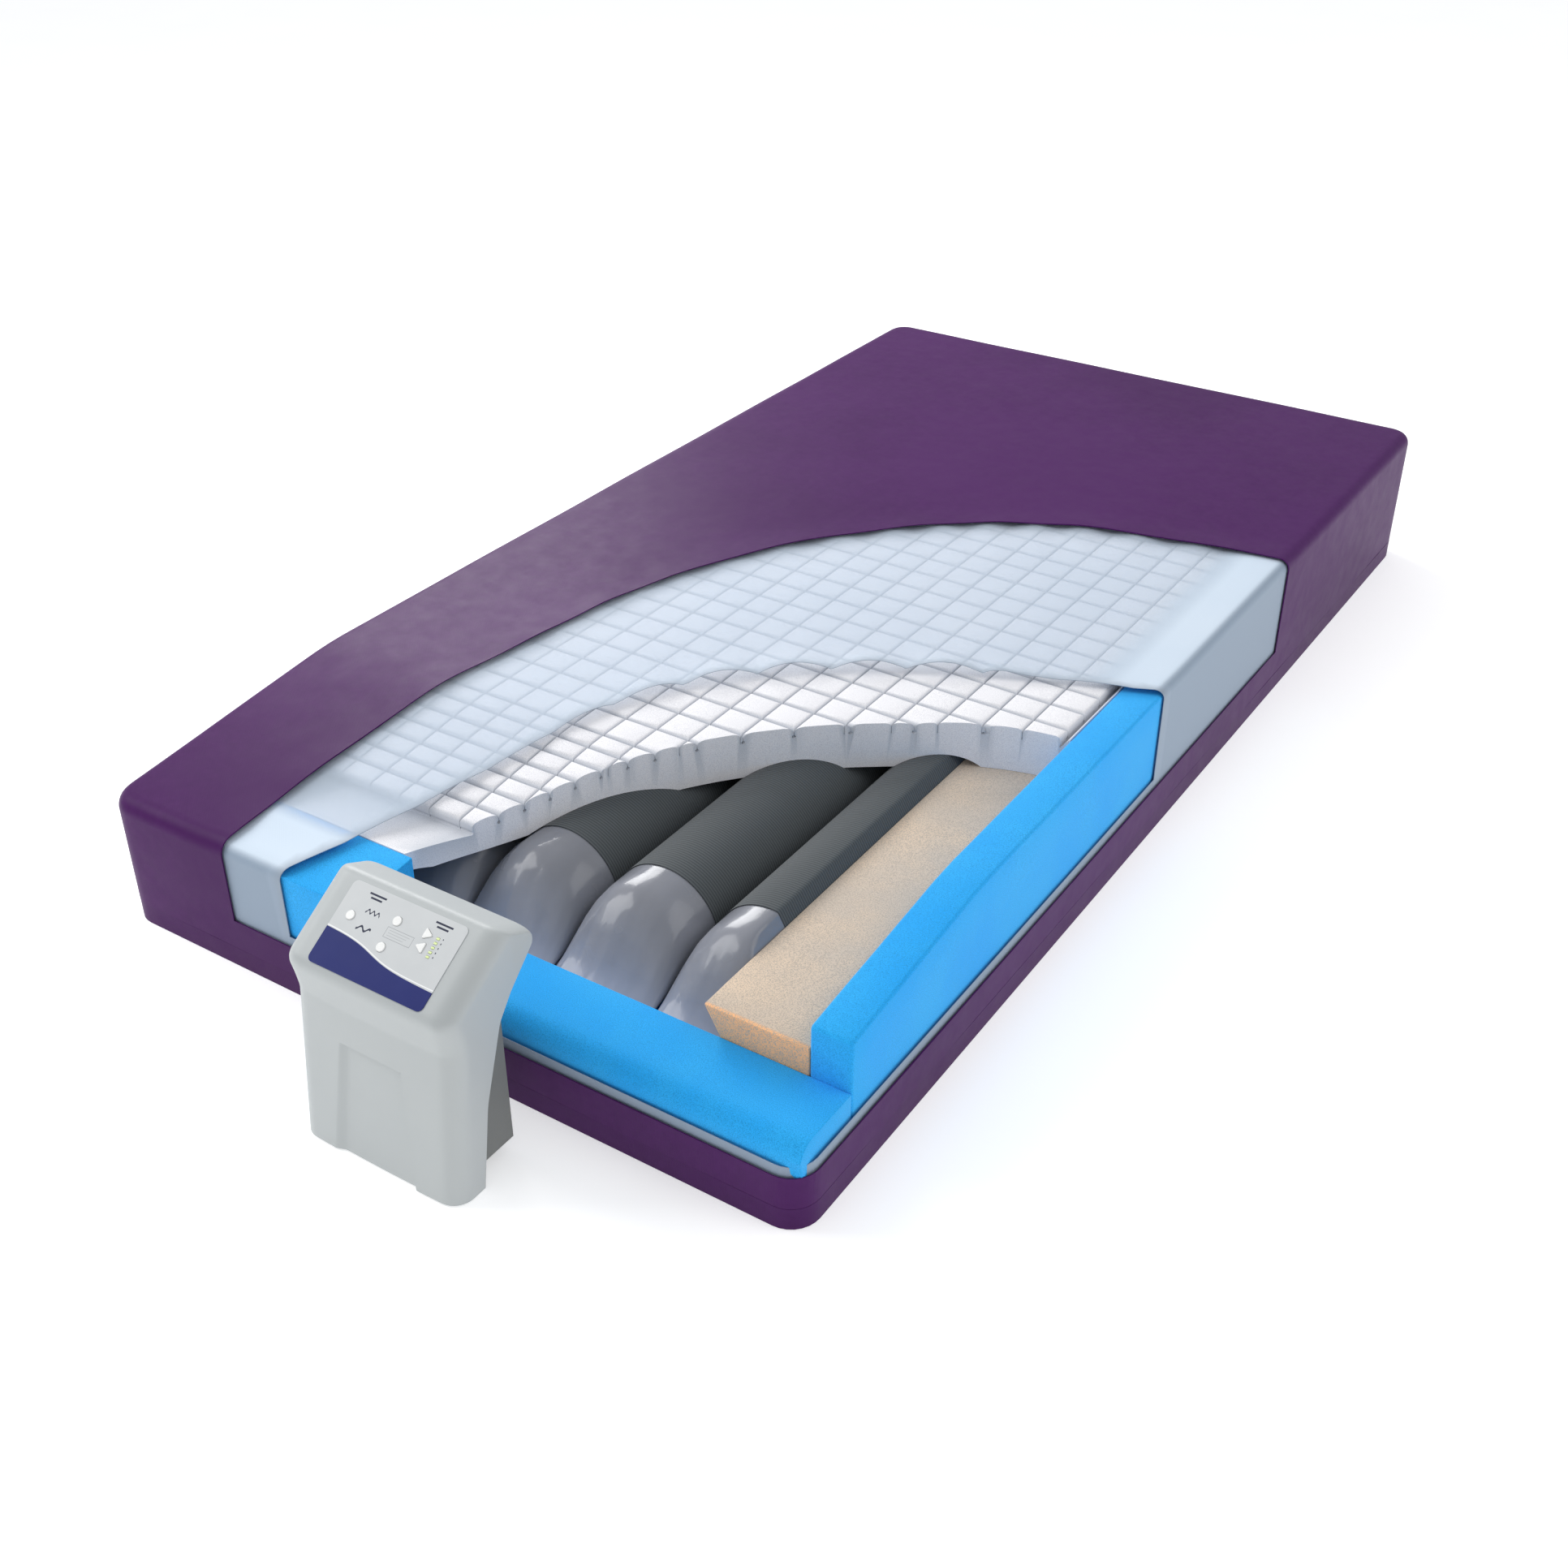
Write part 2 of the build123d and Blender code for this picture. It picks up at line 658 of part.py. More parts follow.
# Label panel, the buttons that come up through it and their lamps
with BuildPart() as label_panel:
    with BuildSketch(panel.offset(0.05)):
        RectangleRounded(*label_size, label_round)
        add(round_holes, mode=Mode.SUBTRACT)
        add(arrow_holes, mode=Mode.SUBTRACT)
        with Locations(*led_places):
            Rectangle(led_size[0] + 2 * lay_gap, led_size[1] + 2 * lay_gap, mode=Mode.SUBTRACT)
    extrude(amount=label_wall)
keep(label_panel, "label_panel")

flange_top = -(unit_wall + 0.1)
flange_bottom = flange_top - button_flange
cap_top = label_wall + button_proud


def push_button(place, cap, flange):
    """A button: its cap, the flange that keeps it in and the stem over its switch."""
    with BuildPart() as button:
        with BuildSketch(panel.offset(flange_bottom)):
            with Locations(place):
                add(flange)
        extrude(amount=button_flange)
        with BuildSketch(panel.offset(flange_bottom)):
            with Locations(place):
                add(cap)
        extrude(amount=cap_top - flange_bottom)
        top = button.faces().sort_by(Axis(panel.origin, panel.z_dir))[-1]
        fillet(top.edges(), 0.6)
        with BuildSketch(panel.offset(-stem_end)):
            with Locations(place):
                Circle(stem_radius)
        extrude(amount=stem_end + flange_bottom)
    return button


for name, place in round_buttons.items():
    keep(push_button(place, Circle(button_radius), Circle(button_radius + button_flange)), name)


def arrow(radius, corner, turn):
    """A triangle with soft corners."""
    with BuildSketch() as shape:
        RegularPolygon(radius, 3, rotation=turn - 90)
        fillet(shape.vertices(), corner)
    return shape.sketch


for name, (x, y, turn) in arrow_buttons.items():
    cap = arrow(arrow_radius, arrow_corner, turn)
    flange = arrow(arrow_radius + button_flange, arrow_corner, turn)
    keep(push_button((x, y), cap, flange), name)

with BuildPart() as level_leds:
    with BuildSketch(panel.offset(-board_depth)):
        with Locations(*led_places):
            Rectangle(*led_size)
    extrude(amount=board_depth + label_wall + 0.4)
keep(level_leds, "level_leds")

with BuildPart() as circuit_board:
    with BuildSketch(panel.offset(-board_depth - board_size[2])):
        RectangleRounded(board_size[0], board_size[1], 2)
    extrude(amount=board_size[2])
keep(circuit_board, "circuit_board")

switch_places = list(round_buttons.values()) + [(x, y) for x, y, _ in arrow_buttons.values()]
with BuildPart() as tact_switches:
    with BuildSketch(panel.offset(-board_depth)):
        with Locations(*switch_places):
            Rectangle(switch_size, switch_size)
    extrude(amount=switch_height - 0.8)
    with BuildSketch(panel.offset(-board_depth)):
        with Locations(*switch_places):
            Circle(1.7)
    extrude(amount=switch_height)
keep(tact_switches, "tact_switches")

# Tray with the compressor on rubber mounts, and the rotary valve that swaps the two zones
tray_floor = back_floor + unit_wall + lay_gap
tray_top = tray_floor + tray_wall
compressor_floor = tray_top + compressor_mount_height
compressor_x = unit_x + compressor_offset
compressor_y = unit_front + compressor_along
with BuildPart() as chassis_tray:
    add(slab(unit_x - window_half + 3, unit_x + window_half - 3, unit_front + 16,
             back_face - unit_wall - 3, tray_floor, tray_top))
    fillet(chassis_tray.edges().filter_by(Axis.Z), 4)
keep(chassis_tray, "chassis_tray")

mount_half = [size / 2 - mount_inset for size in compressor_size[:2]]
with BuildPart() as compressor_mounts:
    with BuildSketch(Plane.XY.offset(tray_top)):
        with Locations((compressor_x, compressor_y)):
            with GridLocations(2 * mount_half[0], 2 * mount_half[1], 2, 2):
                Circle(mount_radius)
    extrude(amount=compressor_mount_height)
keep(compressor_mounts, "compressor_mounts")

with BuildPart() as compressor:
    with BuildSketch(Plane.XY.offset(compressor_floor)):
        with Locations((compressor_x, compressor_y)):
            RectangleRounded(compressor_size[0], compressor_size[1], 8)
    extrude(amount=compressor_size[2])
    fillet(compressor.faces().sort_by(Axis.Z)[-1].edges(), 5)
    for n in range(5):
        rib_x = compressor_x + (n - 2) * 15.0
        with BuildSketch(Plane.XY.offset(compressor_floor + compressor_size[2])):
            with Locations((rib_x, compressor_y)):
                Rectangle(3, compressor_size[1] - 16)
        extrude(amount=4)
keep(compressor, "compressor")

valve_x = unit_x + valve_offset
valve_y = unit_front + sum(outlet_alongs) / 2
valve_top = tray_top + valve_size[2]
with BuildPart() as valve_block:
    with BuildSketch(Plane.XY.offset(tray_top)):
        with Locations((valve_x, valve_y)):
            RectangleRounded(valve_size[0], valve_size[1], 3)
    extrude(amount=valve_size[2])
keep(valve_block, "valve_block")

rotor_floor = valve_top + 0.5
with BuildPart() as valve_rotor:
    with BuildSketch(Plane.XY.offset(rotor_floor)):
        with Locations((valve_x, valve_y)):
            Circle(rotor_radius)
        with Locations((valve_x + rotor_radius - 4, valve_y)):
            Rectangle(5, 3, mode=Mode.SUBTRACT)
    extrude(amount=rotor_height)
    with BuildSketch(Plane.XY.offset(rotor_floor + rotor_height)):
        with Locations((valve_x, valve_y)):
            Circle(shaft_radius)
    extrude(amount=shaft_length)
keep(valve_rotor, "valve_rotor")

motor_floor = rotor_floor + rotor_height + 3
with BuildPart() as valve_motor:
    with BuildSketch(Plane.XY.offset(motor_floor)):
        with Locations((valve_x, valve_y)):
            Circle(motor_radius)
    extrude(amount=motor_height)
    with BuildSketch(Plane.XY.offset(motor_floor)):
        with Locations((valve_x, valve_y)):
            Circle(shaft_radius + running_gap)
    extrude(amount=shaft_length, mode=Mode.SUBTRACT)
    with BuildSketch(Plane.XY.offset(valve_top)):
        legs = motor_radius - 2
        with Locations((valve_x, valve_y - legs), (valve_x, valve_y + legs)):
            Rectangle(8, 3)
    extrude(amount=motor_floor - valve_top)
keep(valve_motor, "valve_motor")

tube_z = outlet_z
valve_left = valve_x - valve_size[0] / 2
valve_right = valve_x + valve_size[0] / 2
outlet_plate_x = unit_x - back_half
compressor_left = compressor_x - compressor_size[0] / 2
supply_y = unit_front + outlet_alongs[0]
with BuildPart() as air_tubes:
    for y, start, end in (
        (unit_front + outlet_alongs[0], outlet_plate_x, valve_left),
        (unit_front + outlet_alongs[1], outlet_plate_x, valve_left),
        (supply_y, valve_right, compressor_left),
    ):
        with BuildSketch(Plane.YZ.offset(start)):
            with Locations((y, tube_z)):
                Circle(outlet_tube_radius)
                Circle(outlet_tube_radius - 1, mode=Mode.SUBTRACT)
        extrude(amount=end - start)
keep(air_tubes, "air_tubes")

with BuildPart() as air_outlets:
    with BuildSketch(Plane.YZ.offset(outlet_plate_x)):
        with Locations((valve_y, outlet_z)):
            RectangleRounded(outlet_alongs[1] - outlet_alongs[0] + 18, 18, 4)
    extrude(amount=-2)
    with BuildSketch(Plane.YZ.offset(outlet_plate_x - 2)):
        with Locations(*[(unit_front + along, outlet_z) for along in outlet_alongs]):
            Circle(outlet_radius)
    extrude(amount=-outlet_length)
    with BuildSketch(Plane.YZ.offset(outlet_plate_x)):
        with Locations(*[(unit_front + along, outlet_z) for along in outlet_alongs]):
            Circle(outlet_tube_radius - 1)
    extrude(amount=-2 - outlet_length, mode=Mode.SUBTRACT)
keep(air_outlets, "air_outlets")

# Mains inlet with its three pins, and the rocker switch
inlet_back = back_face + inlet_flange[2]
with BuildPart() as mains_inlet:
    with BuildSketch(Plane.XZ.offset(-inlet_back)):
        with Locations((inlet_x, service_z)):
            RectangleRounded(inlet_flange[0], inlet_flange[1], 3)
    extrude(amount=inlet_flange[2])
    with BuildSketch(Plane.XZ.offset(-inlet_back)):
        with Locations((inlet_x, service_z)):
            Rectangle(inlet_size[0], inlet_size[1])
    extrude(amount=inlet_size[2])
    with BuildSketch(Plane.XZ.offset(-inlet_back)):
        with Locations((inlet_x, service_z)):
            Rectangle(inlet_size[0] - 4, inlet_size[1] - 4)
    extrude(amount=inlet_size[2] - 3, mode=Mode.SUBTRACT)
keep(mains_inlet, "mains_inlet")

inlet_bottom = inlet_back - inlet_size[2] + 3
with BuildPart() as inlet_pins:
    with BuildSketch(Plane.XZ.offset(-inlet_bottom)):
        low = service_z - 2
        with Locations((inlet_x - 7, low), (inlet_x + 7, low), (inlet_x, service_z + 2)):
            Rectangle(2, 4)
    extrude(amount=-inlet_pin_length)
keep(inlet_pins, "inlet_pins")

frame_back = back_face + 1.2
rocker_y = back_face - 3.0
with BuildPart() as switch_frame_piece:
    with BuildSketch(Plane.XZ.offset(-frame_back)):
        with Locations((switch_x, service_z)):
            RectangleRounded(switch_frame[0] + 5, switch_frame[1] + 5, 2)
    extrude(amount=1.2)
    with BuildSketch(Plane.XZ.offset(-frame_back)):
        with Locations((switch_x, service_z)):
            Rectangle(*switch_frame)
    extrude(amount=14)
    with BuildSketch(Plane.XZ.offset(-frame_back)):
        with Locations((switch_x, service_z)):
            Rectangle(rocker_size[0] + 2 * rocker_gap, rocker_size[1] + 2 * rocker_gap)
    extrude(amount=12, mode=Mode.SUBTRACT)
    with Locations((switch_x, rocker_y, service_z)):
        Cylinder(1.2 + running_gap, rocker_size[0] + 4, rotation=(0, 90, 0), mode=Mode.SUBTRACT)
keep(switch_frame_piece, "switch_frame")

rocker_form = Plane(origin=(switch_x - rocker_size[0] / 2, rocker_y, service_z), x_dir=(0, 1, 0),
                    z_dir=(1, 0, 0)).rotated((-rocker_tilt, 0, 0))
with BuildPart() as power_rocker:
    with BuildSketch(rocker_form):
        with BuildLine():
            half = rocker_size[1] / 2
            out = rocker_size[2] / 2
            outline = [(-out, 1 - half), (out, -half), (out - 1.5, 0)]
            outline += [(out, half), (-out, half - 1)]
            Polyline(outline, close=True)
        make_face()
    extrude(amount=rocker_size[0])
    with Locations((switch_x, rocker_y, service_z)):
        Cylinder(1.2, rocker_size[0] + 3, rotation=(0, 90, 0))
keep(power_rocker, "power_rocker")

# Filter cap on the back, with its slots
with BuildPart() as filter_cap:
    with BuildSketch(Plane.XZ.offset(-back_face)):
        with Locations((filter_x, filter_z)):
            Circle(filter_radius)
    extrude(amount=-4)
    fillet(filter_cap.faces().sort_by(Axis.Y)[-1].edges(), 1.5)
    with BuildSketch(Plane.XZ.offset(-back_face)):
        with Locations(*[(filter_x, filter_z + n * 6.0) for n in (-1, 0, 1)]):
            SlotOverall(1.3 * filter_radius, 2.4)
    extrude(amount=-6, mode=Mode.SUBTRACT)
keep(filter_cap, "filter_cap")

# Fold-out hooks that hang the unit on the bed's footboard
for name, hook_x in hook_xs.items():
    with BuildPart() as hook:
        arm_y = hook_y - hook_bar / 2
        left = hook_x - hook_width / 2
        right = hook_x + hook_width / 2
        with BuildSketch(Plane.YZ.offset(left)):
            with Locations((hook_y, hook_z)):
                Circle(barrel_radius)
            with Locations((hook_y, hook_z - hook_reach / 2)):
                Rectangle(hook_bar, hook_reach)
            with Locations((hook_y - hook_tip / 2, tip_z)):
                Rectangle(hook_tip + hook_bar, hook_bar)
            with Locations((hook_y, hook_z)):
                Circle(hook_pin_radius + running_gap, mode=Mode.SUBTRACT)
        extrude(amount=right - left)
    keep(hook, name)

with BuildPart() as hook_pins:
    for hook_x in hook_xs.values():
        pin_half = ear_half + ear_wall
        with BuildSketch(Plane.YZ.offset(hook_x - pin_half)):
            with Locations((hook_y, hook_z)):
                Circle(hook_pin_radius)
        extrude(amount=2 * pin_half)
keep(hook_pins, "hook_pins")

with BuildPart() as housing_screws:
    with BuildSketch(Plane.XZ.offset(-back_face)):
        with Locations(*screw_places):
            Circle(3.2)
    extrude(amount=-2)
    with BuildSketch(Plane.XZ.offset(-back_face)):
        with Locations(*screw_places):
            Circle(screw_radius)
    extrude(amount=10)
    with BuildSketch(Plane.XZ.offset(-back_face - 2)):
        for place in screw_places:
            with Locations(place):
                Rectangle(3.6, 0.9)
                Rectangle(0.9, 3.6)
    extrude(amount=1, mode=Mode.SUBTRACT)
keep(housing_screws, "housing_screws")

with BuildPart() as rubber_feet:
    with BuildSketch():
        with Locations((unit_x - 90, unit_front + 22), (unit_x + 90, unit_front + 22)):
            Circle(7)
    extrude(amount=unit_lift)
    with BuildSketch():
        with Locations((unit_x - 48, unit_front + 98), (unit_x + 48, unit_front + 98)):
            Circle(8)
    extrude(amount=back_floor)
keep(rubber_feet, "rubber_feet")
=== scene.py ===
import math

import bmesh
import bpy
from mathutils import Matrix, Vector, kdtree, noise


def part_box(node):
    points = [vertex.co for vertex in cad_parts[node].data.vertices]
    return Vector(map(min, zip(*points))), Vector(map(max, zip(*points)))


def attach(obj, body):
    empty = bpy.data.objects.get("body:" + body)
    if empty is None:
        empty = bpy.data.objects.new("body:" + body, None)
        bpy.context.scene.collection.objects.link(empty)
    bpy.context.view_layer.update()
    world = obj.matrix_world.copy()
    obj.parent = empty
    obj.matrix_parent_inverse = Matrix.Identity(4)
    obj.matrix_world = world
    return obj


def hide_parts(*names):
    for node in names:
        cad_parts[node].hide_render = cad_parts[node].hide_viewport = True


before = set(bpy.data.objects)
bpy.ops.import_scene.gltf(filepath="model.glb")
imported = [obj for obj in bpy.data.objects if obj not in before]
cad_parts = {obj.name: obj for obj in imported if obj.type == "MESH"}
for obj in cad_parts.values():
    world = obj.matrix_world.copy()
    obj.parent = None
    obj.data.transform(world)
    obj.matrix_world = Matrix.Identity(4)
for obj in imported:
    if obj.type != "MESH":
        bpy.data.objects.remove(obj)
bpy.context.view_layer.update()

# The studio is a pale floor under a bright even sky, with soft boxes over the foot end's left and
# the head end's left and a weaker one on the right. The camera stands at the foot end's right.
bpy.context.scene.view_settings.view_transform = "Standard"


class Wire:
    """One socket's value. Arithmetic on it adds the Math node that works it out."""

    def __init__(self, finish, socket):
        self.finish = finish
        self.socket = socket

    def join(self, operation, *values):
        return self.finish.node("ShaderNodeMath", {"operation": operation}, dict(enumerate(values)))

    def __add__(self, other):
        return self.join("ADD", self, other)

    def __sub__(self, other):
        return self.join("SUBTRACT", self, other)

    def __rsub__(self, other):
        return self.join("SUBTRACT", other, self)

    def __mul__(self, other):
        return self.join("MULTIPLY", self, other)

    def __truediv__(self, other):
        return self.join("DIVIDE", self, other)

    def __gt__(self, other):
        return self.join("GREATER_THAN", self, other)

    def __lt__(self, other):
        return self.join("LESS_THAN", self, other)

    __radd__ = __add__
    __rmul__ = __mul__

    def sine(self):
        return self.join("SINE", self)

    def size(self):
        return self.join("ABSOLUTE", self)

    def most(self, other):
        return self.join("MAXIMUM", self, other)

    def ease(self, start, stop):
        """0 below start and 1 above stop, with a soft step between them."""
        ends = {"Value": self, "From Min": start, "From Max": stop}
        return self.finish.node("ShaderNodeMapRange", {"interpolation_type": "SMOOTHSTEP"}, ends)


class Finish:
    """A material: its shader's plain numbers are set by name, and nodes are added by node()."""

    def __init__(self, name, **numbers):
        self.material = bpy.data.materials.new(name)
        self.material.use_nodes = True
        self.tree = self.material.node_tree
        self.shader = self.tree.nodes["Principled BSDF"]
        for key, value in numbers.items():
            self.shader.inputs[key.replace("_", " ").title().replace("Ior", "IOR")].default_value = value

    def node(self, kind, settings=None, inputs=None, output=0):
        node = self.tree.nodes.new(kind)
        for key, value in (settings or {}).items():
            setattr(node, key, value)
        for key, value in (inputs or {}).items():
            if isinstance(value, Wire):
                self.tree.links.new(value.socket, node.inputs[key])
            else:
                node.inputs[key].default_value = value
        return Wire(self, node.outputs[output])

    def place(self, scale=(1, 1, 1)):
        """A point's place on the object in metres, stretched by scale."""
        spot = self.node("ShaderNodeTexCoord", output=3)
        return self.node("ShaderNodeMapping", None, {"Vector": spot, "Scale": scale})

    def axes(self):
        spot = self.place()
        return [self.node("ShaderNodeSeparateXYZ", None, {0: spot}, n) for n in range(3)]

    def grain(self, scale, detail=2.0, stretch=(1, 1, 1)):
        """Soft noise between 0 and 1, with scale lumps to the metre."""
        spot = self.place(stretch)
        return self.node("ShaderNodeTexNoise", None, {"Vector": spot, "Scale": scale, "Detail": detail})

    def mix(self, share, first, second):
        inputs = {0: share, 6: first, 7: second}
        return self.node("ShaderNodeMix", {"data_type": "RGBA"}, inputs, 2)

    def bump(self, height, distance, strength=1.0, under=None):
        inputs = {"Height": height, "Distance": distance, "Strength": strength}
        if under:
            inputs["Normal"] = under
        return self.node("ShaderNodeBump", None, inputs)

    def feed(self, **wires):
        for key, wire in wires.items():
            self.tree.links.new(wire.socket, self.shader.inputs[key.replace("_", " ").title()])
        return self.material


def colour(code):
    """A colour written as six hex digits, as the shader wants it."""
    parts = [int(code[n:n + 2], 16) / 255 for n in (0, 2, 4)]
    return [c / 12.92 if c < 0.04045 else ((c + 0.055) / 1.055) ** 2.4 for c in parts] + [1.0]


bpy.ops.object.select_all(action="DESELECT")
bpy.ops.mesh.primitive_plane_add(size=40, location=(0, 0, -0.0006))
floor = bpy.context.object
floor.name = "studio_floor"
paper = Finish("studio_paper", roughness=0.9)
floor.data.materials.append(
    paper.feed(base_color=paper.mix(paper.grain(3.0), colour("f6f6f6"), colour("fbfbfb"))))
paper.shader.inputs["Emission Color"].default_value = (1, 1, 1, 1)
paper.shader.inputs["Emission Strength"].default_value = 0.4

camera_fall = 32.93
camera_heading = 33.095
camera_turn = (math.radians(90 - camera_fall), 0, math.radians(camera_heading))
bpy.ops.object.camera_add(location=(1.2715, -2.1828, 1.4777), rotation=camera_turn)
camera = bpy.context.object
camera.data.lens = 41.93
bpy.context.scene.camera = camera


def soft_box(place, size, power):
    """A square lamp that looks at the mattress's middle."""
    bpy.ops.object.light_add(type="AREA", location=place)
    lamp = bpy.context.object
    lamp.data.size = size
    lamp.data.energy = power
    lamp.rotation_euler = (Vector((0, 0, 0.1)) - Vector(place)).to_track_quat("-Z", "Y").to_euler()


soft_box((-2.6, -1.6, 2.6), 2.2, 62)
soft_box((2.8, 0.6, 2.4), 2.4, 23)
soft_box((-2.5, 1.5, 1.9), 1.6, 55)
sky = bpy.data.worlds.new("studio_sky")
sky.use_nodes = True
sky.node_tree.nodes["Background"].inputs["Color"].default_value = (0.96, 0.98, 1.0, 1.0)
sky.node_tree.nodes["Background"].inputs["Strength"].default_value = 0.62
bpy.context.scene.world = sky


# Bottom cover: coated fabric like the top cover's, made up into a shallow tray with a low lip
# all round, which the top cover zips to.
cover_low, cover_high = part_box("cover_top")
half_width = cover_high.x
foot_end = cover_low.y
head_end = cover_high.y
head_height = cover_high.z
foot_height = 0.189
heel_length = 0.400
corner_radius = 0.038
edge_radius = 0.018
lip_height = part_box("cover_base")[1].z
crown_height = 0.003
hair = 1e-5  # places nearer to each other than this are the same


def work_on(piece):
    bpy.ops.object.select_all(action="DESELECT")
    piece.select_set(True)
    bpy.context.view_layer.objects.active = piece


def block(name, low, high):
    """A block between two corners."""
    bpy.ops.object.select_all(action="DESELECT")
    middle = [(a + b) / 2 for a, b in zip(low, high)]
    bpy.ops.mesh.primitive_cube_add(size=1, location=middle)
    piece = bpy.context.object
    piece.name = name
    piece.scale = [b - a for a, b in zip(low, high)]
    bpy.ops.object.transform_apply(location=True, rotation=True, scale=True)
    return piece


def edit(piece):
    work_on(piece)
    bpy.ops.object.mode_set(mode="EDIT")
    bpy.ops.mesh.select_mode(type="VERT")
    bpy.ops.mesh.select_all(action="SELECT")


def done():
    bpy.ops.object.mode_set(mode="OBJECT")


def choose(kind, test):
    """Selects the edges, faces or points of the mesh being edited that pass a test."""
    bpy.ops.mesh.select_mode(type=kind)
    bpy.ops.mesh.select_all(action="DESELECT")
    mesh = bmesh.from_edit_mesh(bpy.context.object.data)
    mesh.normal_update()
    for item in {"VERT": mesh.verts, "EDGE": mesh.edges, "FACE": mesh.faces}[kind]:
        if test(item):
            item.select_set(True)
    bmesh.update_edit_mesh(bpy.context.object.data)


def slices(axis, start, stop, step):
    """Cuts the mesh being edited with evenly spaced planes, so that it can bend."""
    count = max(1, round((stop - start) / step))
    for n in range(1, count):
        place = [0, 0, 0]
        normal = [0, 0, 0]
        place[axis] = start + n * (stop - start) / count
        normal[axis] = 1
        bpy.ops.mesh.select_all(action="SELECT")
        bpy.ops.mesh.bisect(plane_co=place, plane_no=normal)


def heel_drop(y):
    """How much lower the top is than at the head, with a soft bend at the top of the heel."""
    slope = (head_height - foot_height) / heel_length
    reach = foot_end + heel_length - y
    bend = 0.035
    if reach < -bend:
        return 0.0
    if reach > bend:
        return slope * reach
    return slope * (reach + bend) ** 2 / (4 * bend)


def crown(x, y):
    """The foam core stands a little proud in its middle."""
    return crown_height * (1 - (x / half_width) ** 2) * (1 - (y / head_end) ** 4)


def upright(edge):
    first, second = edge.verts
    return abs(first.co.x - second.co.x) + abs(first.co.y - second.co.y) < hair


def envelope(name, inset, floor, step):
    """The mattress's form moved in by inset: round corners, soft top edge and sloped heel."""
    top = head_height - inset
    form = block(name, (inset - half_width, foot_end + inset, floor),
                 (half_width - inset, head_end - inset, top))
    edit(form)
    choose("EDGE", upright)
    bpy.ops.mesh.bevel(offset=corner_radius - inset, segments=7, affect="EDGES")
    choose("EDGE", lambda edge: all(point.co.z > top - hair for point in edge.verts))
    bpy.ops.mesh.bevel(offset=edge_radius - inset, segments=5, affect="EDGES")
    slices(0, -half_width, half_width, step)
    slices(1, foot_end, head_end, step)
    done()
    side_top = top - edge_radius - 0.002
    for point in form.data.vertices:
        share = min(1.0, max(0.0, (point.co.z - floor) / (side_top - floor)))
        x, y = point.co.xy
        point.co.z += share * (crown(x, y) - heel_drop(y))
    return form


def wall(piece, thickness):
    """Gives a sheet its thickness, inwards."""
    work_on(piece)
    shell = piece.modifiers.new("wall", "SOLIDIFY")
    shell.thickness = thickness
    shell.offset = -1
    shell.use_even_offset = True
    bpy.ops.object.modifier_apply(modifier=shell.name)


def smooth(piece, angle=35):
    work_on(piece)
    bpy.ops.object.shade_smooth_by_angle(angle=math.radians(angle))


def settle(piece, body, slot, *nodes):
    """Says what a piece rides on and the CAD solids that it stands for; its slot is not used."""
    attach(piece, body)
    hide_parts(*nodes)


def cover_cloth(name, first, second):
    """Satin stretch fabric: a fine knit with a soft sheen and slight tonal changes."""
    cloth = Finish(name, sheen_weight=0.03, sheen_roughness=0.3, sheen_tint=colour("b47fc0"),
                   specular_ior_level=0.10)
    tone = cloth.grain(2.2, 3.0) * 0.75 + cloth.grain(90.0) * 0.25
    x, y, z = cloth.axes()
    rows = ((x + z) * 2600.0).sine() * ((y + z) * 2600.0).sine()
    knit = cloth.bump(rows, 0.00008, 0.35)
    puckers = cloth.bump(cloth.grain(14.0, 2.0, (1, 0.6, 1)), 0.003, 0.35, knit)
    rough = 0.36 + cloth.grain(30.0) * 0.14
    return cloth.feed(base_color=cloth.mix(tone.ease(0.35, 0.65), colour(first), colour(second)),
                      roughness=rough, normal=puckers)


tray = envelope("bottom_cover", 0.0, 0.0, 0.06)
edit(tray)
bpy.ops.mesh.bisect(plane_co=(0, 0, lip_height), plane_no=(0, 0, 1), clear_outer=True)
done()
wall(tray, 0.002)
smooth(tray)
tray.data.materials.append(cover_cloth("bottom_cover_cloth", "421650", "481c58"))
settle(tray, "mattress", "base_fabric", "cover_base")


# Zip: a woven tape sewn over the lip, with a moulded tooth chain along its middle. The
# slider and its pull ride on the chain.
tape_low, tape_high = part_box("zip_tape")
tape_outer = -half_width - 0.0011
chain_z = (tape_low.z + tape_high.z) / 2
tape = block("zip_tape_woven", (tape_outer, tape_low.y, tape_low.z),
             (tape_high.x, tape_high.y, tape_high.z))
edit(tape)
slices(1, tape_low.y, tape_high.y, 0.04)
slices(2, tape_low.z, tape_high.z, 0.0025)
done()
for point in tape.data.vertices:
    if point.co.x < tape_outer + hair:
        point.co.x += 0.0002 * math.sin(point.co.y * 60)
tooth_pitch = 0.0034
tooth = block("zip_teeth", (tape_low.x, tape_low.y + 0.0006, chain_z - 0.002),
              (tape_outer + 0.0002, tape_low.y + 0.0026, chain_z + 0.002))
edit(tooth)
choose("EDGE", lambda edge: all(point.co.x < tape_low.x + hair for point in edge.verts))
bpy.ops.mesh.bevel(offset=0.0005, segments=1, affect="EDGES")
done()
row = tooth.modifiers.new("row", "ARRAY")
row.count = int((tape_high.y - tape_low.y) / tooth_pitch)
row.use_relative_offset = False
row.use_constant_offset = True
row.constant_offset_displace = (0, tooth_pitch, 0)
work_on(tooth)
bpy.ops.object.modifier_apply(modifier=row.name)
weave = Finish("zip_tape_cloth", roughness=0.8)
ribs = (weave.axes()[1] * 2400.0).sine()
tape.data.materials.append(weave.feed(
    base_color=weave.mix(weave.grain(300.0), colour("33203b"), colour("40294a")),
    normal=weave.bump(ribs, 0.0001, 0.6)))
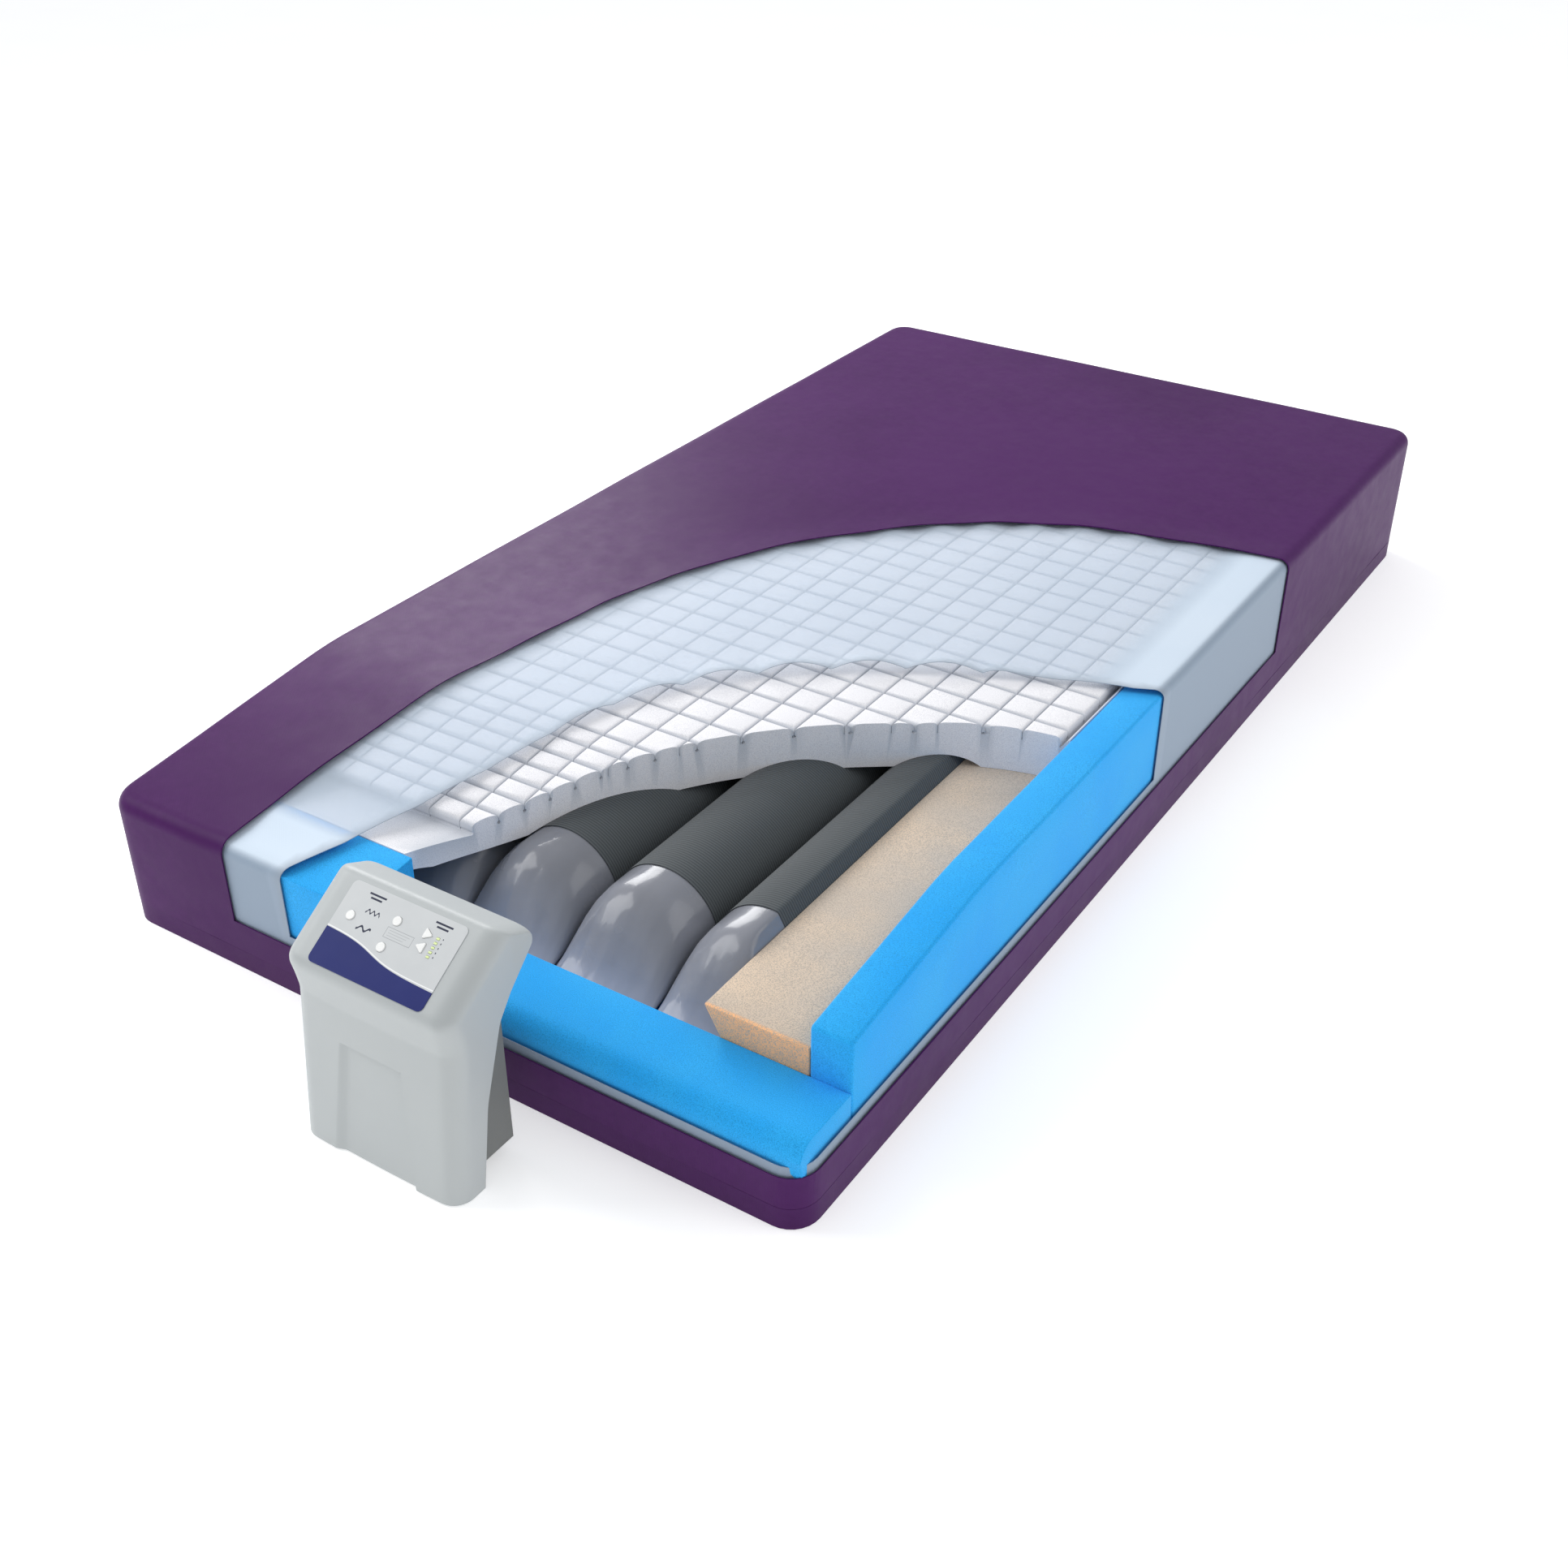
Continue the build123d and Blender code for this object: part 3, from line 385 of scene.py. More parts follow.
nylon = Finish("zip_nylon", roughness=0.35)
tooth.data.materials.append(nylon.feed(
    base_color=nylon.mix(nylon.grain(60.0), colour("2b1c33"), colour("3a2743"))))
smooth(tape)
smooth(tooth)
settle(tape, "mattress", "zip_tape", "zip_tape")
settle(tooth, "mattress", "zip_tape", "zip_tape")


def dress(finish_material, *nodes):
    """Gives CAD pieces their material."""
    for name in nodes:
        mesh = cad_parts[name].data
        mesh.materials.clear()
        mesh.materials.append(finish_material)


zinc = Finish("zip_zinc", metallic=1.0)
dress(zinc.feed(base_color=zinc.mix(zinc.grain(700.0), colour("a9abad"), colour("c4c6c8")),
                roughness=0.22 + zinc.grain(900.0, 4.0) * 0.2), "zip_slider", "zip_pull")


# Foam crib: a thin base slab and four rails of firm blue foam, cut from slabs by wire, so that
# faces are flat and matt with open pores, and edges are slightly worn round.
base_low, base_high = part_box("base_foam")
crib_corner = 0.03
rail_low, rail_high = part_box("foot_rail")
head_low, head_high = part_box("head_rail")


def foam(name, first, second, pore=900.0, painted_light_tone=None, painted_light_face_y=0.0):
    """Open-cell foam: fine pores over soft tonal clouds, and perhaps a lighter, warmer tone on the end
    face, painted light over that face's shade.
    """
    cell = Finish(name, roughness=0.92, specular_ior_level=0.25, sheen_weight=0.15)
    clouds = cell.grain(9.0, 3.0).ease(0.3, 0.7)
    pores = cell.grain(pore, 3.0)
    body = cell.mix(clouds, colour(first), colour(second))
    # The face at the low-y end is painted a lighter, warmer tone: painted light over that face's shade.
    if painted_light_tone:
        body = cell.mix(cell.axes()[1].ease(painted_light_face_y + 0.007, painted_light_face_y + 0.003), body, colour(painted_light_tone))
    dark = [c * 0.72 for c in colour(first)[:3]] + [1.0]
    speckled = cell.mix(pores.ease(0.3, 0.62), dark, body)
    grit = cell.bump(pores, 0.0005, 0.55)
    return cell.feed(base_color=speckled, normal=cell.bump(cell.grain(70.0), 0.001, 0.3, grit))


def cut_foam(piece, radius, step, wave=0.0005, segments=3):
    """Rounds a foam block's edges and gives its faces the slight wave of a wire cut."""
    work_on(piece)
    edges = piece.modifiers.new("edges", "BEVEL")
    edges.width = radius
    edges.segments = segments
    edges.limit_method = "ANGLE"
    edges.angle_limit = math.radians(40)
    bpy.ops.object.modifier_apply(modifier=edges.name)
    low = [min(corner[n] for corner in piece.bound_box) for n in range(3)]
    high = [max(corner[n] for corner in piece.bound_box) for n in range(3)]
    edit(piece)
    for axis in range(3):
        slices(axis, low[axis], high[axis], step)
    done()
    for point in piece.data.vertices:
        point.co += point.normal * wave * noise.noise(point.co * 11)


def slope_top(piece, still_z):
    """Brings the top of a crib piece down with the heel; what is below still_z stays."""
    for point in piece.data.vertices:
        share = min(1.0, max(0.0, (point.co.z - still_z) / (slope_from - still_z)))
        point.co.z -= share * heel_drop(point.co.y)


def mirror(piece):
    """Turns a right-hand piece into the left-hand one."""
    for point in piece.data.vertices:
        point.co.x = -point.co.x
    edit(piece)
    bpy.ops.mesh.flip_normals()
    done()


blue_foam = foam("blue_foam", "1faeff", "2fb8ff")
slab = block("base_slab", base_low, base_high)
edit(slab)
choose("EDGE", upright)
bpy.ops.mesh.bevel(offset=crib_corner, segments=5, affect="EDGES")
done()
cut_foam(slab, 0.002, 0.08)
slab.data.materials.append(blue_foam)
smooth(slab)
settle(slab, "mattress", "base_foam", "base_foam")

foam_top = head_high.z
slope_from = foam_top - 0.012
side_low, side_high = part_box("bolster_right")
for side, name in ((1, "bolster_right"), (-1, "bolster_left")):
    low = (side_low.x, side_low.y, side_low.z)
    bolster = block(name + "_foam", low, (side_high.x, side_high.y, foam_top))
    cut_foam(bolster, 0.005, 0.045)
    if side < 0:
        mirror(bolster)
    slope_top(bolster, base_high.z)
    bolster.data.materials.append(blue_foam)
    smooth(bolster)
    settle(bolster, "mattress", "blue_foam", name)

head_rail = block("head_rail_foam", head_low, head_high)
edit(head_rail)
choose("EDGE", lambda edge: upright(edge) and edge.verts[0].co.y > head_high.y - hair)
bpy.ops.mesh.bevel(offset=crib_corner, segments=5, affect="EDGES")
done()
cut_foam(head_rail, 0.008, 0.045)
head_rail.data.materials.append(blue_foam)
smooth(head_rail)
settle(head_rail, "mattress", "blue_foam", "head_rail")

# Foot rail: full height on the left, cut down on the right, with a well rounded front
low_rail_height = 0.119
rail_cut = -0.104
foot_rail = block("foot_rail_foam", rail_low, (rail_high.x, rail_high.y, low_rail_height))
edit(foot_rail)
bpy.ops.mesh.bisect(plane_co=(rail_cut, 0, 0), plane_no=(1, 0, 0))
choose("FACE", lambda face: face.normal.z > 0.9 and face.calc_center_median().x < rail_cut)
bpy.ops.mesh.extrude_region_move(
    TRANSFORM_OT_translate={"value": (0, 0, foam_top - low_rail_height)})
choose("EDGE", lambda edge: all(abs(p.co.z - low_rail_height) < hair and p.co.y < rail_low.y + hair
                                and p.co.x > rail_cut - hair for p in edge.verts))
bpy.ops.mesh.bevel(offset=0.026, segments=7, affect="EDGES")
choose("EDGE", lambda edge: upright(edge) and edge.verts[0].co.y < rail_low.y + hair
       and abs(edge.verts[0].co.x) > rail_high.x - hair)
bpy.ops.mesh.bevel(offset=crib_corner, segments=5, affect="EDGES")
done()
cut_foam(foot_rail, 0.006, 0.04)
slope_top(foot_rail, low_rail_height)
foot_rail.data.materials.append(blue_foam)
smooth(foot_rail)
settle(foot_rail, "mattress", "blue_foam", "foot_rail")


# Wedges: softer tan foam, sawn at a slant so that they cradle the outer air cylinders. They
# are glued along the bolsters.
wedge_low, wedge_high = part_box("wedge_right")
wedge_foot = 0.4040
# The wedges' foot end faces are painted a lighter orange, as painted light.
tan_foam = foam("tan_foam", "d3c4b4", "e6ceb4", 700.0, painted_light_tone="ffc28c", painted_light_face_y=wedge_low.y)
for side, name in ((1, "wedge_right"), (-1, "wedge_left")):
    wedge = block(name + "_foam", wedge_low, wedge_high)
    for point in wedge.data.vertices:
        if point.co.x < wedge_low.x + hair and point.co.z < wedge_low.z + hair:
            point.co.x = wedge_foot
    cut_foam(wedge, 0.0025, 0.045, 0.0004, 2)
    if side < 0:
        mirror(wedge)
    wedge.data.materials.append(tan_foam)
    smooth(wedge)
    settle(wedge, "mattress", "tan_foam", name)


# Air headers: two clear hoses in grooves of the base slab, one for each zone of cylinders, that
# end in a moulded plate with two hose nipples on the left side.
hose = Finish("clear_hose", roughness=0.12, alpha=0.6)
dress(hose.feed(base_color=hose.mix(hose.grain(25.0), colour("a9b4bd"), colour("c3ccd3"))),
      "air_header_a", "air_header_b", "air_tubes")
nipple = Finish("nipple_plastic", roughness=0.35)
dress(nipple.feed(base_color=nipple.mix(nipple.grain(120.0), colour("d8d8d4"), colour("e4e4e0")),
                  normal=nipple.bump(nipple.grain(1500.0), 0.00005, 0.3)),
      "air_port_plate", "air_outlets")


# Air cylinders: five tubes of clear film, welded flat at the ends, blown up tight. Each has a
# knitted sleeve that leaves its foot end bare.
around_tube = 96
cylinder_pitch = 0.154
cylinder_z = sum(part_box("sleeve_3")[n].z for n in (0, 1)) / 2
film_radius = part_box("bladder_3")[1].x
sleeve_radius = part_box("sleeve_3")[1].x
wedge_lean = Vector((wedge_foot - wedge_low.x, wedge_low.z - wedge_high.z)).normalized()


def tube(name, x, radius, y_from, y_to, rings):
    """An open tube along Y, from a circle drawn out ring by ring."""
    bpy.ops.object.select_all(action="DESELECT")
    bpy.ops.mesh.primitive_circle_add(vertices=around_tube, radius=radius, location=(x, y_from, cylinder_z),
                                      rotation=(math.radians(90), 0, 0))
    piece = bpy.context.object
    piece.name = name
    bpy.ops.object.transform_apply(location=True, rotation=True, scale=True)
    edit(piece)
    for ring in range(rings):
        step = (y_to - y_from) / rings
        bpy.ops.mesh.extrude_region_move(TRANSFORM_OT_translate={"value": (0, step, 0)})
    bpy.ops.mesh.select_all(action="SELECT")
    bpy.ops.mesh.normals_make_consistent(inside=False)
    done()
    return piece


def lean_on_wedge(piece, x, gap):
    """Flattens an outer cylinder where the slanted wedge presses on it."""
    side = 1 if x > 0 else -1
    for point in piece.data.vertices:
        across = Vector((side * point.co.x - wedge_low.x, point.co.z - wedge_high.z))
        beyond = -across.x * wedge_lean.y + across.y * wedge_lean.x + gap
        if beyond > 0:
            point.co.x += side * beyond * wedge_lean.y
            point.co.z -= beyond * wedge_lean.x


def weld_end(piece, x, end, reach, level, lean):
    """Draws a blown tube in to its flat weld, with the folds that run into it."""
    for point in piece.data.vertices:
        inside = abs(end - point.co.y)
        if inside < reach:
            share = 1 - inside / reach
            height = 0.04 + 0.96 * (0.5 + 0.5 * math.cos(math.pi * share ** 1.25))
            around = math.atan2(point.co.z - cylinder_z, point.co.x - x)
            folds = 0.0016 * share * math.cos(13 * around + lean) + 0.0008 * share * math.cos(29 * around)
            point.co.z = level + (point.co.z - level) * height + folds * height
            point.co.x = x + (point.co.x - x) * (0.985 + 0.015 * height)


film = Finish("air_film", specular_ior_level=0.4, coat_weight=0.35, coat_roughness=0.06)
film_y = film.axes()[1]
# The film is painted dark grey towards the sleeves and pale lilac towards the foot welds: painted shade
# near the sleeves and painted light at the welds.
film_shade_and_light = film.mix(film_y.ease(-0.93, -0.80), colour("c4c9dc"), colour("74767d"))
film.feed(base_color=film.mix(film.grain(7.0, 3.0) * 0.4, film_shade_and_light, colour("c6c9d6")),
          roughness=0.14 + film.grain(18.0) * 0.2,
          normal=film.bump(film.grain(16.0, 3.0, (1.6, 0.5, 1.6)), 0.004, 0.35))
edge_on = film.node("ShaderNodeLayerWeight", None, {"Blend": 0.35}, 1)
film.feed(alpha=0.84 + edge_on * 0.15)

knit = Finish("sleeve_knit", roughness=0.85, sheen_weight=0.25, sheen_roughness=0.4)
knit_y = knit.axes()[1]
course = (knit_y * 1500.0).sine()
loops = knit.grain(1800.0, 2.0, (1, 0.4, 1))
knit.feed(base_color=knit.mix((course * 0.5 + 0.5) * 0.6 + loops * 0.4, colour("33373a"), colour("565c5f")),
          normal=knit.bump(course * 0.7 + loops * 0.6, 0.0003, 0.6))

for number in range(1, 6):
    film_low, film_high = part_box(f"bladder_{number}")
    knit_low, knit_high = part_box(f"sleeve_{number}")
    x = (number - 3) * cylinder_pitch
    bladder = tube(f"air_cylinder_{number}", x, film_radius - 0.0002, film_low.y, film_high.y, 90)
    edit(bladder)
    choose("EDGE", lambda edge: edge.is_boundary)
    bpy.ops.mesh.fill()
    done()
    weld_end(bladder, x, film_low.y, 0.125, film_low.z + 0.045, number)
    weld_end(bladder, x, film_high.y, 0.085, film_low.z + 0.045, number)
    if number in (1, 5):
        lean_on_wedge(bladder, x, 0.0012)
    bladder.data.materials.append(film.material)
    smooth(bladder, 60)
    settle(bladder, "mattress", "air_film", f"bladder_{number}")

    sleeve = tube(f"knitted_sleeve_{number}", x, sleeve_radius, knit_low.y, knit_high.y, 60)
    if number in (1, 5):
        lean_on_wedge(sleeve, x, 0.0004)
    wall(sleeve, 0.0007)
    sleeve.data.materials.append(knit.material)
    smooth(sleeve, 60)
    settle(sleeve, "mattress", "sleeve_knit", f"sleeve_{number}")


# Topper: white visco foam, die-cut from above into blocks by slits that end in small round
# holes. Its heel rows are narrow, and its underside is moulded to the cylinders.
topper_low, topper_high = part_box("topper_foam")
block_width = 0.0508
columns = 18
row_sets = ((-0.8205, 0.0330, 7), (-0.5895, 0.0495, 28))
slit_depth = 0.017


def opening(name, foot_x, line, side_along, level):
    """The space taken out of a layer, from a smooth line to the right side and the foot end."""
    reach = half_width + edge_radius
    beyond = foot_end - edge_radius
    path = [(foot_x, beyond)]
    path += [(across, foot_end + along) for across, along in line]
    path += [(reach, foot_end + side_along), (reach, beyond)]
    bpy.ops.object.select_all(action="DESELECT")
    curve = bpy.data.curves.new(name, "CURVE")
    curve.dimensions = "2D"
    curve.fill_mode = "BOTH"
    curve.extrude = 0.15
    curve.resolution_u = 16
    spline = curve.splines.new("BEZIER")
    spline.bezier_points.add(len(path) - 1)
    spline.use_cyclic_u = True
    for number, (knot, (x, y)) in enumerate(zip(spline.bezier_points, path)):
        knot.co = (x, y, 0)
        kind = "VECTOR" if number in (0, len(path) - 2, len(path) - 1) else "AUTO"
        knot.handle_left_type = kind
        knot.handle_right_type = kind
    cutter = bpy.data.objects.new(name, curve)
    bpy.context.collection.objects.link(cutter)
    work_on(cutter)
    bpy.ops.object.convert(target="MESH")
    for point in cutter.data.vertices:
        point.co.z += level + curve.extrude
    edit(cutter)
    bpy.ops.mesh.remove_doubles(threshold=1e-6)
    bpy.ops.mesh.normals_make_consistent(inside=False)
    done()
    return cutter


def carve(piece, cutter):
    """Cuts one mesh with another and takes the cutter away."""
    cut = piece.modifiers.new("cut", "BOOLEAN")
    cut.operation = "DIFFERENCE"
    cut.solver = "EXACT"
    cut.object = cutter
    work_on(piece)
    bpy.ops.object.modifier_apply(modifier=cut.name)
    bpy.data.objects.remove(cutter)


def fade(value, start, stop):
    share = min(1.0, max(0.0, (value - start) / (stop - start)))
    return share * share * (3 - 2 * share)


def die_cut_rows(y_start, pitch, rows):
    """A sheet of die-cut blocks: one block is shaped from a plane and arrayed both ways."""
    bpy.ops.object.select_all(action="DESELECT")
    left = -block_width * columns / 2
    middle = Vector((left + block_width / 2, y_start + pitch / 2, topper_high.z - slit_depth))
    bpy.ops.mesh.primitive_plane_add(size=1, location=middle)
    piece = bpy.context.object
    piece.scale = (block_width, pitch, 1)
    bpy.ops.object.transform_apply(location=True, rotation=True, scale=True)
    edit(piece)
    bpy.ops.mesh.select_mode(type="FACE")
    round_in = 0.30 * pitch if rows < 10 else 0.16 * pitch
    rings = ((0.0006, 0.0020, 0.0018), (0.0004, 0.0018, 0.0042), (0.0003, 0.0005, 0.0056),
             (0.0004, 0.0007, 0.0115), (0.0010, 0.24 * round_in, 0.0140),
             (0.0028, 0.60 * round_in, 0.0160), (0.0060, 1.2 * round_in, 0.0170))
    before = (0.0, 0.0, 0.0)
    for ring in rings:
        size_x = (block_width / 2 - ring[0]) / (block_width / 2 - before[0])
        size_y = (pitch / 2 - ring[1]) / (pitch / 2 - before[1])
        bpy.ops.mesh.extrude_region_move(
            TRANSFORM_OT_translate={"value": (0, 0, ring[2] - before[2])})
        bpy.ops.transform.resize(value=(size_x, size_y, 1), center_override=middle)
        before = ring
    choose("FACE", lambda face: all(point.co.z < middle.z + hair for point in face.verts))
    bpy.ops.mesh.delete(type="FACE")
    done()
    for count, offset in ((columns, (block_width, 0, 0)), (rows, (0, pitch, 0))):
        work_on(piece)
        line = piece.modifiers.new("line", "ARRAY")
        line.count = count
        line.use_relative_offset = False
        line.use_constant_offset = True
        line.constant_offset_displace = offset
        line.use_merge_vertices = True
        line.merge_threshold = 0.0001
        bpy.ops.object.modifier_apply(modifier=line.name)
    return piece


sheets = [die_cut_rows(*rows) for rows in row_sets]
work_on(sheets[0])
sheets[1].select_set(True)
bpy.ops.object.join()
topper = bpy.context.object
topper.name = "die_cut_topper"
edit(topper)
bpy.ops.mesh.remove_doubles(threshold=0.0002)
choose("EDGE", lambda edge: edge.is_boundary)
bpy.ops.mesh.extrude_region_move()
done()
grid_left = -block_width * columns / 2
grid_foot = row_sets[0][0]
grid_head = row_sets[1][0] + row_sets[1][1] * row_sets[1][2]
for point in topper.data.vertices:
    if not point.select:
        continue
    point.co.z = topper_high.z
    if abs(point.co.x) > -grid_left - 1e-4:
        point.co.x = math.copysign(topper_high.x, point.co.x)
    if point.co.y < grid_foot + 1e-4:
        point.co.y = topper_low.y
    if point.co.y > grid_head - 1e-4:
        point.co.y = topper_high.y
edit(topper)
choose("EDGE", lambda edge: edge.is_boundary)
bpy.ops.mesh.extrude_region_move(
    TRANSFORM_OT_translate={"value": (0, 0, topper_low.z - topper_high.z)})
choose("EDGE", lambda edge: edge.is_boundary)
bpy.ops.mesh.edge_face_add()
bpy.ops.mesh.select_all(action="SELECT")
bpy.ops.mesh.normals_make_consistent(inside=False)
done()
for point in topper.data.vertices:
    if point.co.z > topper_high.z - 0.02:
        point.co.z += crown(*point.co.xy) - heel_drop(point.co.y)
        point.co.z += 0.0005 * noise.noise(point.co * 25)

for number in range(5):
    bpy.ops.object.select_all(action="DESELECT")
    bpy.ops.mesh.primitive_cylinder_add(
        vertices=96, radius=sleeve_radius + 0.0003, depth=2 * head_end,
        location=((number - 2) * cylinder_pitch, 0, cylinder_z), rotation=(math.radians(90), 0, 0))
    carve(topper, bpy.context.object)
topper_line = [(-0.121, 0.098), (-0.060, 0.239), (0.015, 0.396), (0.114, 0.536), (0.287, 0.679),
               (0.380, 0.731)]
carve(topper, opening("topper_space", -0.140, topper_line, 0.760, base_high.z))
slit = topper.data.attributes.new("slit", "FLOAT", "POINT")
for point, shade in zip(topper.data.vertices, slit.data):
    depth = topper_high.z + crown(*point.co.xy) - heel_drop(point.co.y) - point.co.z
    shade.value = fade(depth, 0.0006, 0.004) * (1 - fade(depth, 0.019, 0.022))
visco = Finish("white_foam", roughness=0.9, specular_ior_level=0.25, sheen_weight=0.1)
pores = visco.grain(1100.0, 3.0)
shadow = visco.node("ShaderNodeAttribute", {"attribute_name": "slit"}, None, 2)
white = visco.mix(visco.grain(9.0, 3.0), colour("f4f3f6"), colour("fdfcfe"))
white = visco.mix(pores.ease(0.3, 0.62), colour("d9d8de"), white)
topper.data.materials.append(visco.feed(
    base_color=visco.mix(shadow * 0.6, white, colour("b3bac4")),
    normal=visco.bump(pores, 0.0003, 0.5)))
smooth(topper, 40)
settle(topper, "mattress", "topper_foam", "topper_foam")


# Liner: a thin pale barrier knit, sewn as a sock round the whole foam core. It is drawn tight,
# but its cut edge lifts and puckers.
liner_low, liner_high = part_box("liner")


def line_of(cutter, level):
    """Closely spaced places along a cutter's lower edge, each with its distance along the line."""
    reach = half_width + edge_radius - 1e-4
    beyond = foot_end - edge_radius + 1e-4
    ends = [point.co.xy.to_tuple() for point in cutter.data.vertices
            if abs(point.co.z - level) < 1e-4 and point.co.x < reach and point.co.y > beyond]
    ends.sort(key=sum)
    places = []
    travelled = 0.0
    for first, second in zip(ends, ends[1:]):
        start = Vector(first)
        whole = Vector(second) - start
        for part in range(12):
            places.append((start + whole * (part / 12), travelled + whole.length * part / 12))
        travelled += whole.length
    return places


def tree_of(places):
    tree = kdtree.KDTree(len(places))
    for number, (place, _) in enumerate(places):
        tree.insert((place.x, place.y, 0), number)
    tree.balance()
    return tree


cover_line = [(-0.320, 0.165), (-0.290, 0.500), (-0.222, 0.853), (-0.065, 1.124), (0.165, 1.308),
              (0.408, 1.375)]
cover_cut_from = 0.075
cover_space = opening("cover_space", -0.320, cover_line, 1.400, cover_cut_from)
cover_places = line_of(cover_space, cover_cut_from)
cover_tree = tree_of(cover_places)
liner_line = [(-0.190, 0.086), (-0.116, 0.321), (-0.071, 0.493), (0.007, 0.619), (0.143, 0.741),
              (0.325, 0.842)]
liner_cut_from = 0.088
liner_space = opening("liner_space", -0.232, liner_line, 0.932, liner_cut_from)
liner_places = line_of(liner_space, liner_cut_from)
liner_tree = tree_of(liner_places)


def liner_lift(x, y):
    """Humps along the liner's own cut edge, and soft folds that run in under the cover's edge."""
    place, number, gap = liner_tree.find((x, y, 0))
    travelled = liner_places[number][1]
    humps = abs(math.sin(math.pi * travelled / 0.104)) ** 0.8
    share = 0.15 + 0.85 * fade(place.x, -0.14, 0.0) * (1 - fade(place.x, 0.29, 0.36))
    lift = 0.014 * humps * share * math.exp(-(gap / 0.042) ** 2)
    place, number, gap = cover_tree.find((x, y, 0))
    travelled = cover_places[number][1]
    folds = math.sin(2 * math.pi * travelled / 0.085 + 1.1 * math.sin(travelled * 9))
    share = 0.25 + 0.75 * fade(place.x, -0.25, -0.02) * (1 - fade(place.x, 0.40, 0.48))
    return lift + 0.0022 * folds * share * math.exp(-(gap / 0.075) ** 2)


liner_inset = half_width - liner_high.x
liner = envelope("barrier_liner", liner_inset, liner_low.z, 0.015)
wall(liner, 0.0009)
carve(liner, liner_space)
for point in liner.data.vertices:
    share = fade(point.co.z, 0.13, 0.17)
    if share:
        x, y = point.co.xy
        point.co.z += share * liner_lift(x, y)
# Along its cut edge the liner is painted grey and made more opaque: painted shade of the lifted edge's
# underside.
edge_shade_layer = liner.data.attributes.new("painted_edge_shade", "FLOAT", "POINT")
for point, mark in zip(liner.data.vertices, edge_shade_layer.data):
    place, number, gap = liner_tree.find((point.co.x, point.co.y, 0))
    mark.value = math.exp(-(gap / 0.010) ** 2) * fade(point.co.z, 0.13, 0.17)
barrier = Finish("liner_knit", roughness=0.62, sheen_weight=0.2)
liner_x, liner_y, liner_z = barrier.axes()
painted_edge_shade = barrier.node("ShaderNodeAttribute", {"attribute_name": "painted_edge_shade"}, None, 2)
threads = (liner_x * 1900.0).sine() * (liner_y * 1900.0).sine()
foot = liner_y.ease(-0.935, -0.905)
tone_and_side_shade = barrier.mix(barrier.grain(4.0, 3.0), colour("cbdced"), colour("dde9f6"))
# The liner's sides and foot end are painted darker than its top: painted shade over the knit's random tone.
painted_side_shade = liner_x.size().ease(0.513, 0.526).most(liner_y.ease(-1.0, -1.011)).most(liner_z.ease(0.15, 0.13))
tone_and_side_shade = barrier.mix(painted_side_shade, tone_and_side_shade, colour("90a1b4"))
liner.data.materials.append(barrier.feed(
    base_color=barrier.mix(painted_edge_shade * 0.7, tone_and_side_shade, colour("8d98a5")), normal=barrier.bump(threads, 0.0001, 0.3),
    alpha=0.93 - liner_z.ease(0.15, 0.19) * (1.0 - liner_x.size().ease(0.42, 0.475)) * foot * 0.62
    + painted_edge_shade * 0.4))
smooth(liner, 50)
settle(liner, "mattress", "liner_fabric", "liner")


# Top cover: purple stretch fabric, drawn tight over the core and zipped to the bottom cover.
# The cut edge stands a little off the liner.
def cover_lift(x, y):
    place, number, gap = cover_tree.find((x, y, 0))
    travelled = cover_places[number][1]
    folds = 0.5 + 0.5 * math.sin(2 * math.pi * travelled / 0.17 + 1.1 * math.sin(travelled * 9))
    return (0.002 + 0.0016 * folds) * math.exp(-(gap / 0.03) ** 2)


cover = envelope("top_cover", 0.0, lip_height + 0.0003, 0.025)
edit(cover)
choose("FACE", lambda face: face.normal.z < -0.9 and face.calc_center_median().z < lip_height + 0.001)
bpy.ops.mesh.delete(type="FACE")
done()
wall(cover, 0.0016)
carve(cover, cover_space)
for point in cover.data.vertices:
    share = fade(point.co.z, 0.15, 0.18)
    if share:
        x, y = point.co.xy
        point.co.z += share * cover_lift(x, y)
    point.co += 0.0007 * point.normal * noise.noise(point.co * 5)
cover.data.materials.append(cover_cloth("top_cover_cloth", "441853", "4c1e5c"))
smooth(cover, 50)
settle(cover, "mattress", "cover_fabric", "cover_top")


# Control unit, front shell: one ABS moulding with large soft corners. A lip stands out under
# the sloping panel, and a flared hand recess is sunk into the lower front.
shell_low, shell_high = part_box("front_shell")
unit_x = (shell_low.x + shell_high.x) / 2
unit_front = shell_low.y
unit_half = (shell_high.x - shell_low.x) / 2
side_round = 0.024
shell_wall = 0.0028
outline_step = 0.0036
column_step = 0.001
shell_foot = 0.002
recess_half = 0.0455
recess_top = 0.155
recess_depth = 0.0048
recess_edge = 0.0012
recess_flare = 0.016
recess_shift = 0.003
outline = [(0.0, 0.002, 0, 1), (0.01687, 0.1538, 0, 1), (0.017, 0.155, 0, 1), (0.022, 0.200, 0.026, 1),
           (0.014, 0.248, 0.018, 0.8), (0.114, 0.312, 0.016, 0.25), (0.161, 0.290, 0.009, 0),
           (0.157, 0.272, 0.004, 0), (0.117, 0.232, 0.020, 0), (0.096, 0.204, 0.040, 0),
           (0.064, 0.109, 0.100, 0), (0.046, 0.002, 0, 0)]


